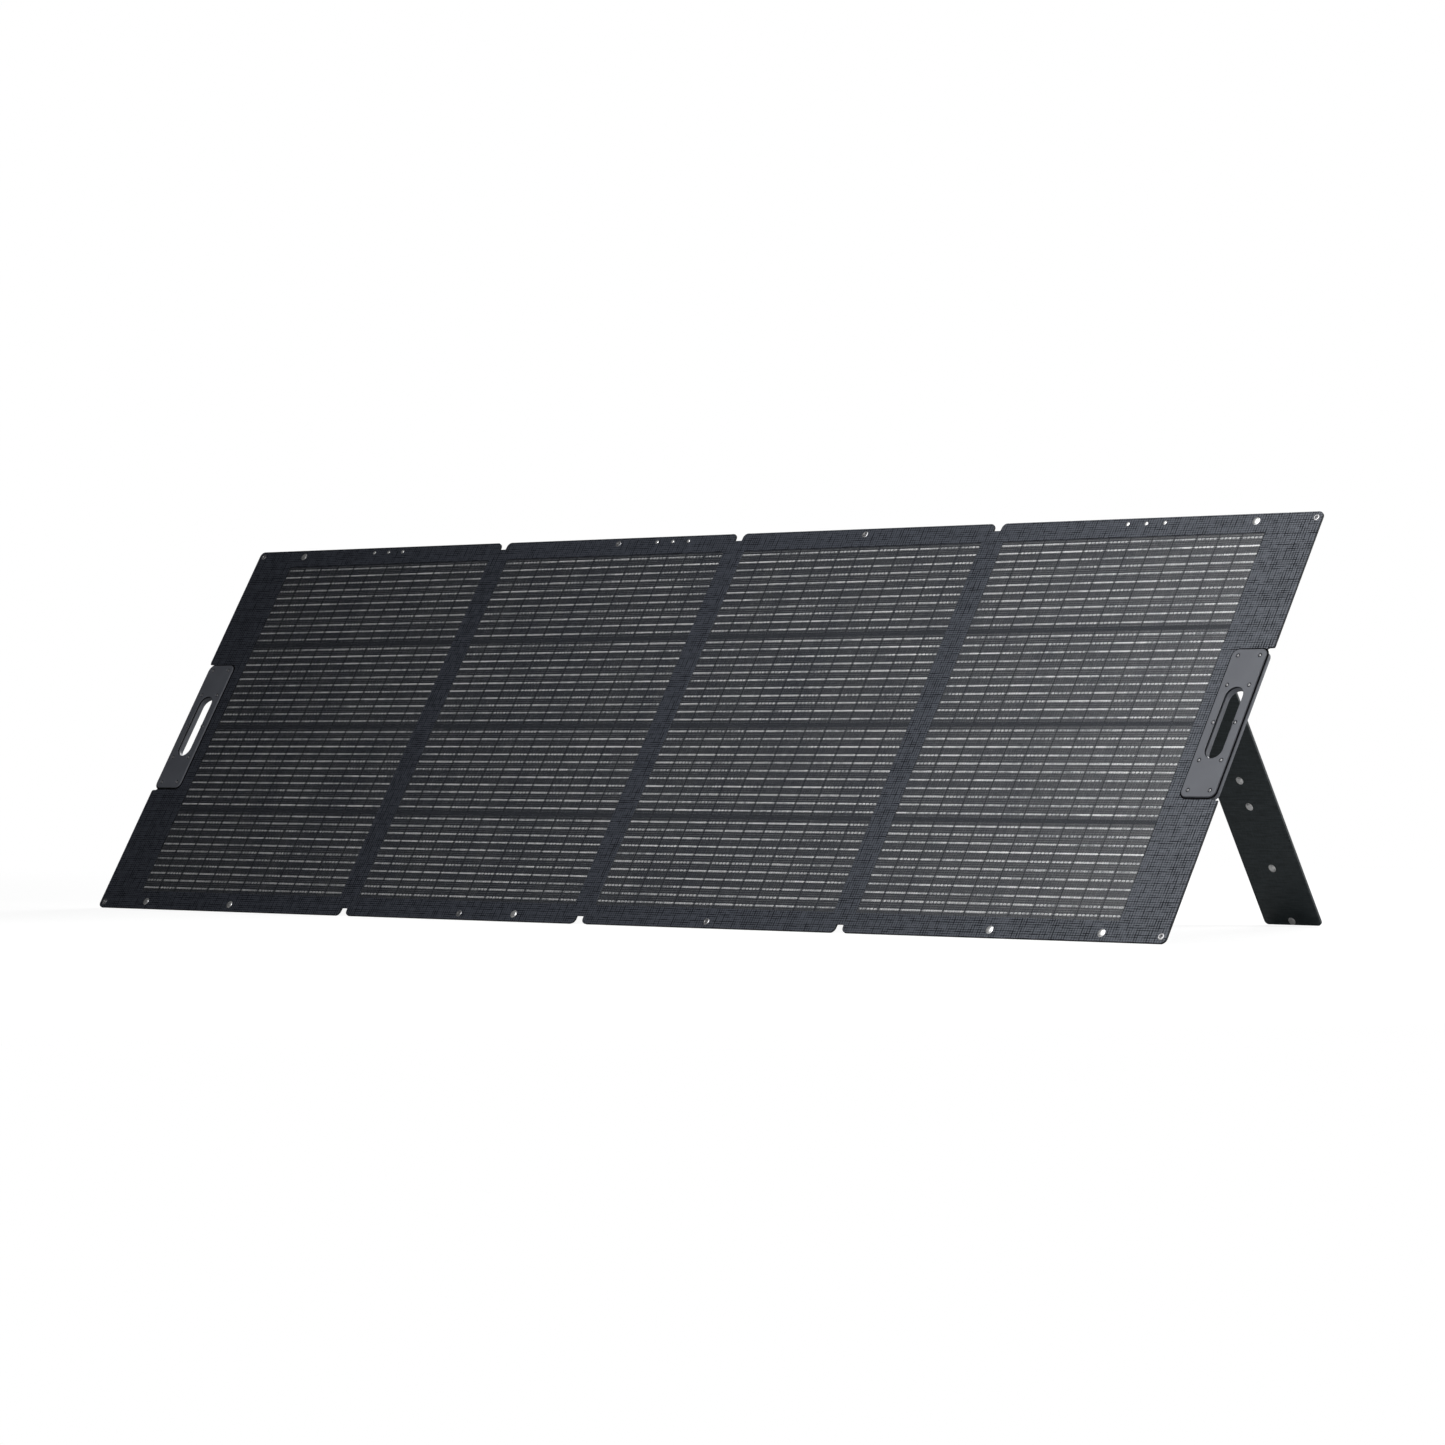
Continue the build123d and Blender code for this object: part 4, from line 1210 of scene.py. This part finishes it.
# ---------------------------------------------------------------- stage, light and camera
def floor_material():
    """Nearly white floor with faint shadows, which fades into the white background far away."""
    n = Nodes("floor")
    away = n.add("ShaderNodeVectorMath", {0: n.place()}, operation="LENGTH").outputs["Value"]
    far = n.ramp(away, 1.2, 4.0)
    seen = n.add("ShaderNodeLightPath").outputs["Is Camera Ray"]
    glow = n.add("ShaderNodeEmission", {"Color": rgb(1, 1, 1), "Strength": n.ramp(far, 0, 1, 0.84, 1.0)})
    shown = n.mix(far, rgb(0.3, 0.3, 0.3), rgb(0, 0, 0))
    n.finish(n.mix(seen, rgb(0.6, 0.6, 0.6), shown), 0.9, Specular_IOR_Level=0.0)
    only = n.add("ShaderNodeMixShader", {0: seen, 2: glow.outputs[0]})
    both = n.add("ShaderNodeAddShader", {0: n.shader.outputs[0], 1: only.outputs[0]})
    n.tree.links.new(both.outputs[0], n.output.inputs["Surface"])
    return n.material


def build_floor():
    bm = bmesh.new()
    bmesh.ops.create_circle(bm, cap_ends=True, segments=96, radius=40)
    mesh = bpy.data.meshes.new("floor")
    bm.to_mesh(mesh)
    bm.free()
    mesh.transform(Matrix.Translation((0, 0, -0.8 * MM)))
    mesh.materials.append(floor_material())
    floor = bpy.data.objects.new("floor", mesh)
    bpy.context.scene.collection.objects.link(floor)


def build_world(strength):
    """White to the camera, and a faint cool light on everything else."""
    world = bpy.data.worlds.new("studio")
    bpy.context.scene.world = world
    world.use_nodes = True
    tree = world.node_tree
    tree.nodes.clear()
    path, mix, output = (
        tree.nodes.new(f"ShaderNode{kind}") for kind in ("LightPath", "MixShader", "OutputWorld")
    )
    tree.links.new(path.outputs["Is Camera Ray"], mix.inputs[0])
    for slot, power, color in ((1, strength, rgb(0.93, 0.96, 1.0)), (2, 1.0, rgb(1, 1, 1))):
        sky = tree.nodes.new("ShaderNodeBackground")
        sky.inputs["Strength"].default_value = power
        sky.inputs["Color"].default_value = color
        tree.links.new(sky.outputs[0], mix.inputs[slot])
    tree.links.new(mix.outputs[0], output.inputs[0])


def aimed(name, data, at, direction):
    """Puts a light or a camera at a place and points it along a direction."""
    holder = bpy.data.objects.new(name, data)
    holder.location = at
    holder.rotation_euler = direction.to_track_quat("-Z", "Y").to_euler()
    bpy.context.scene.collection.objects.link(holder)
    return holder


def area_light(name, at, target, size, power):
    lamp = bpy.data.lights.new(name, "AREA")
    lamp.shape = "RECTANGLE"
    lamp.size, lamp.size_y = size
    lamp.energy = power
    aimed(name, lamp, at, Vector(target) - Vector(at))


def build_camera():
    """The viewing point: far to the right, just above the ground, through a long lens."""
    data = bpy.data.cameras.new("view")
    data.sensor_width = 36.0
    data.lens = 126.5
    data.clip_end = 100
    at = FLAT.translation + Vector((6.4537, -6.4233, 0.3222))
    bpy.context.scene.camera = aimed("view", data, at, Vector((-0.6883, 0.7254, 0.0041)))


WORLD = 0.02
LIGHTS = [
    ("sheen", (0.6, -1.6, 2.2), (1.1, -0.15, 0.2), (1.4, 2.4), 56),
    ("front", (2.4, -3.4, 1.4), (0.4, 0.0, 0.3), (2.4, 2.0), 16),
    ("side", (3.3, -1.3, 0.7), (1.1, 0.1, 0.3), (1.8, 1.8), 24),
    ("rim", (3.0, 1.6, 1.4), (1.2, 0.2, 0.3), (1.2, 1.2), 45),
    ("rear", (-1.5, 4.5, 2.0), (0.0, 0.3, 0.3), (3.0, 1.5), 170),
]
build_floor()
build_world(WORLD)
for light in LIGHTS:
    area_light(*light)
build_camera()
bpy.context.scene.view_settings.view_transform = "Standard"
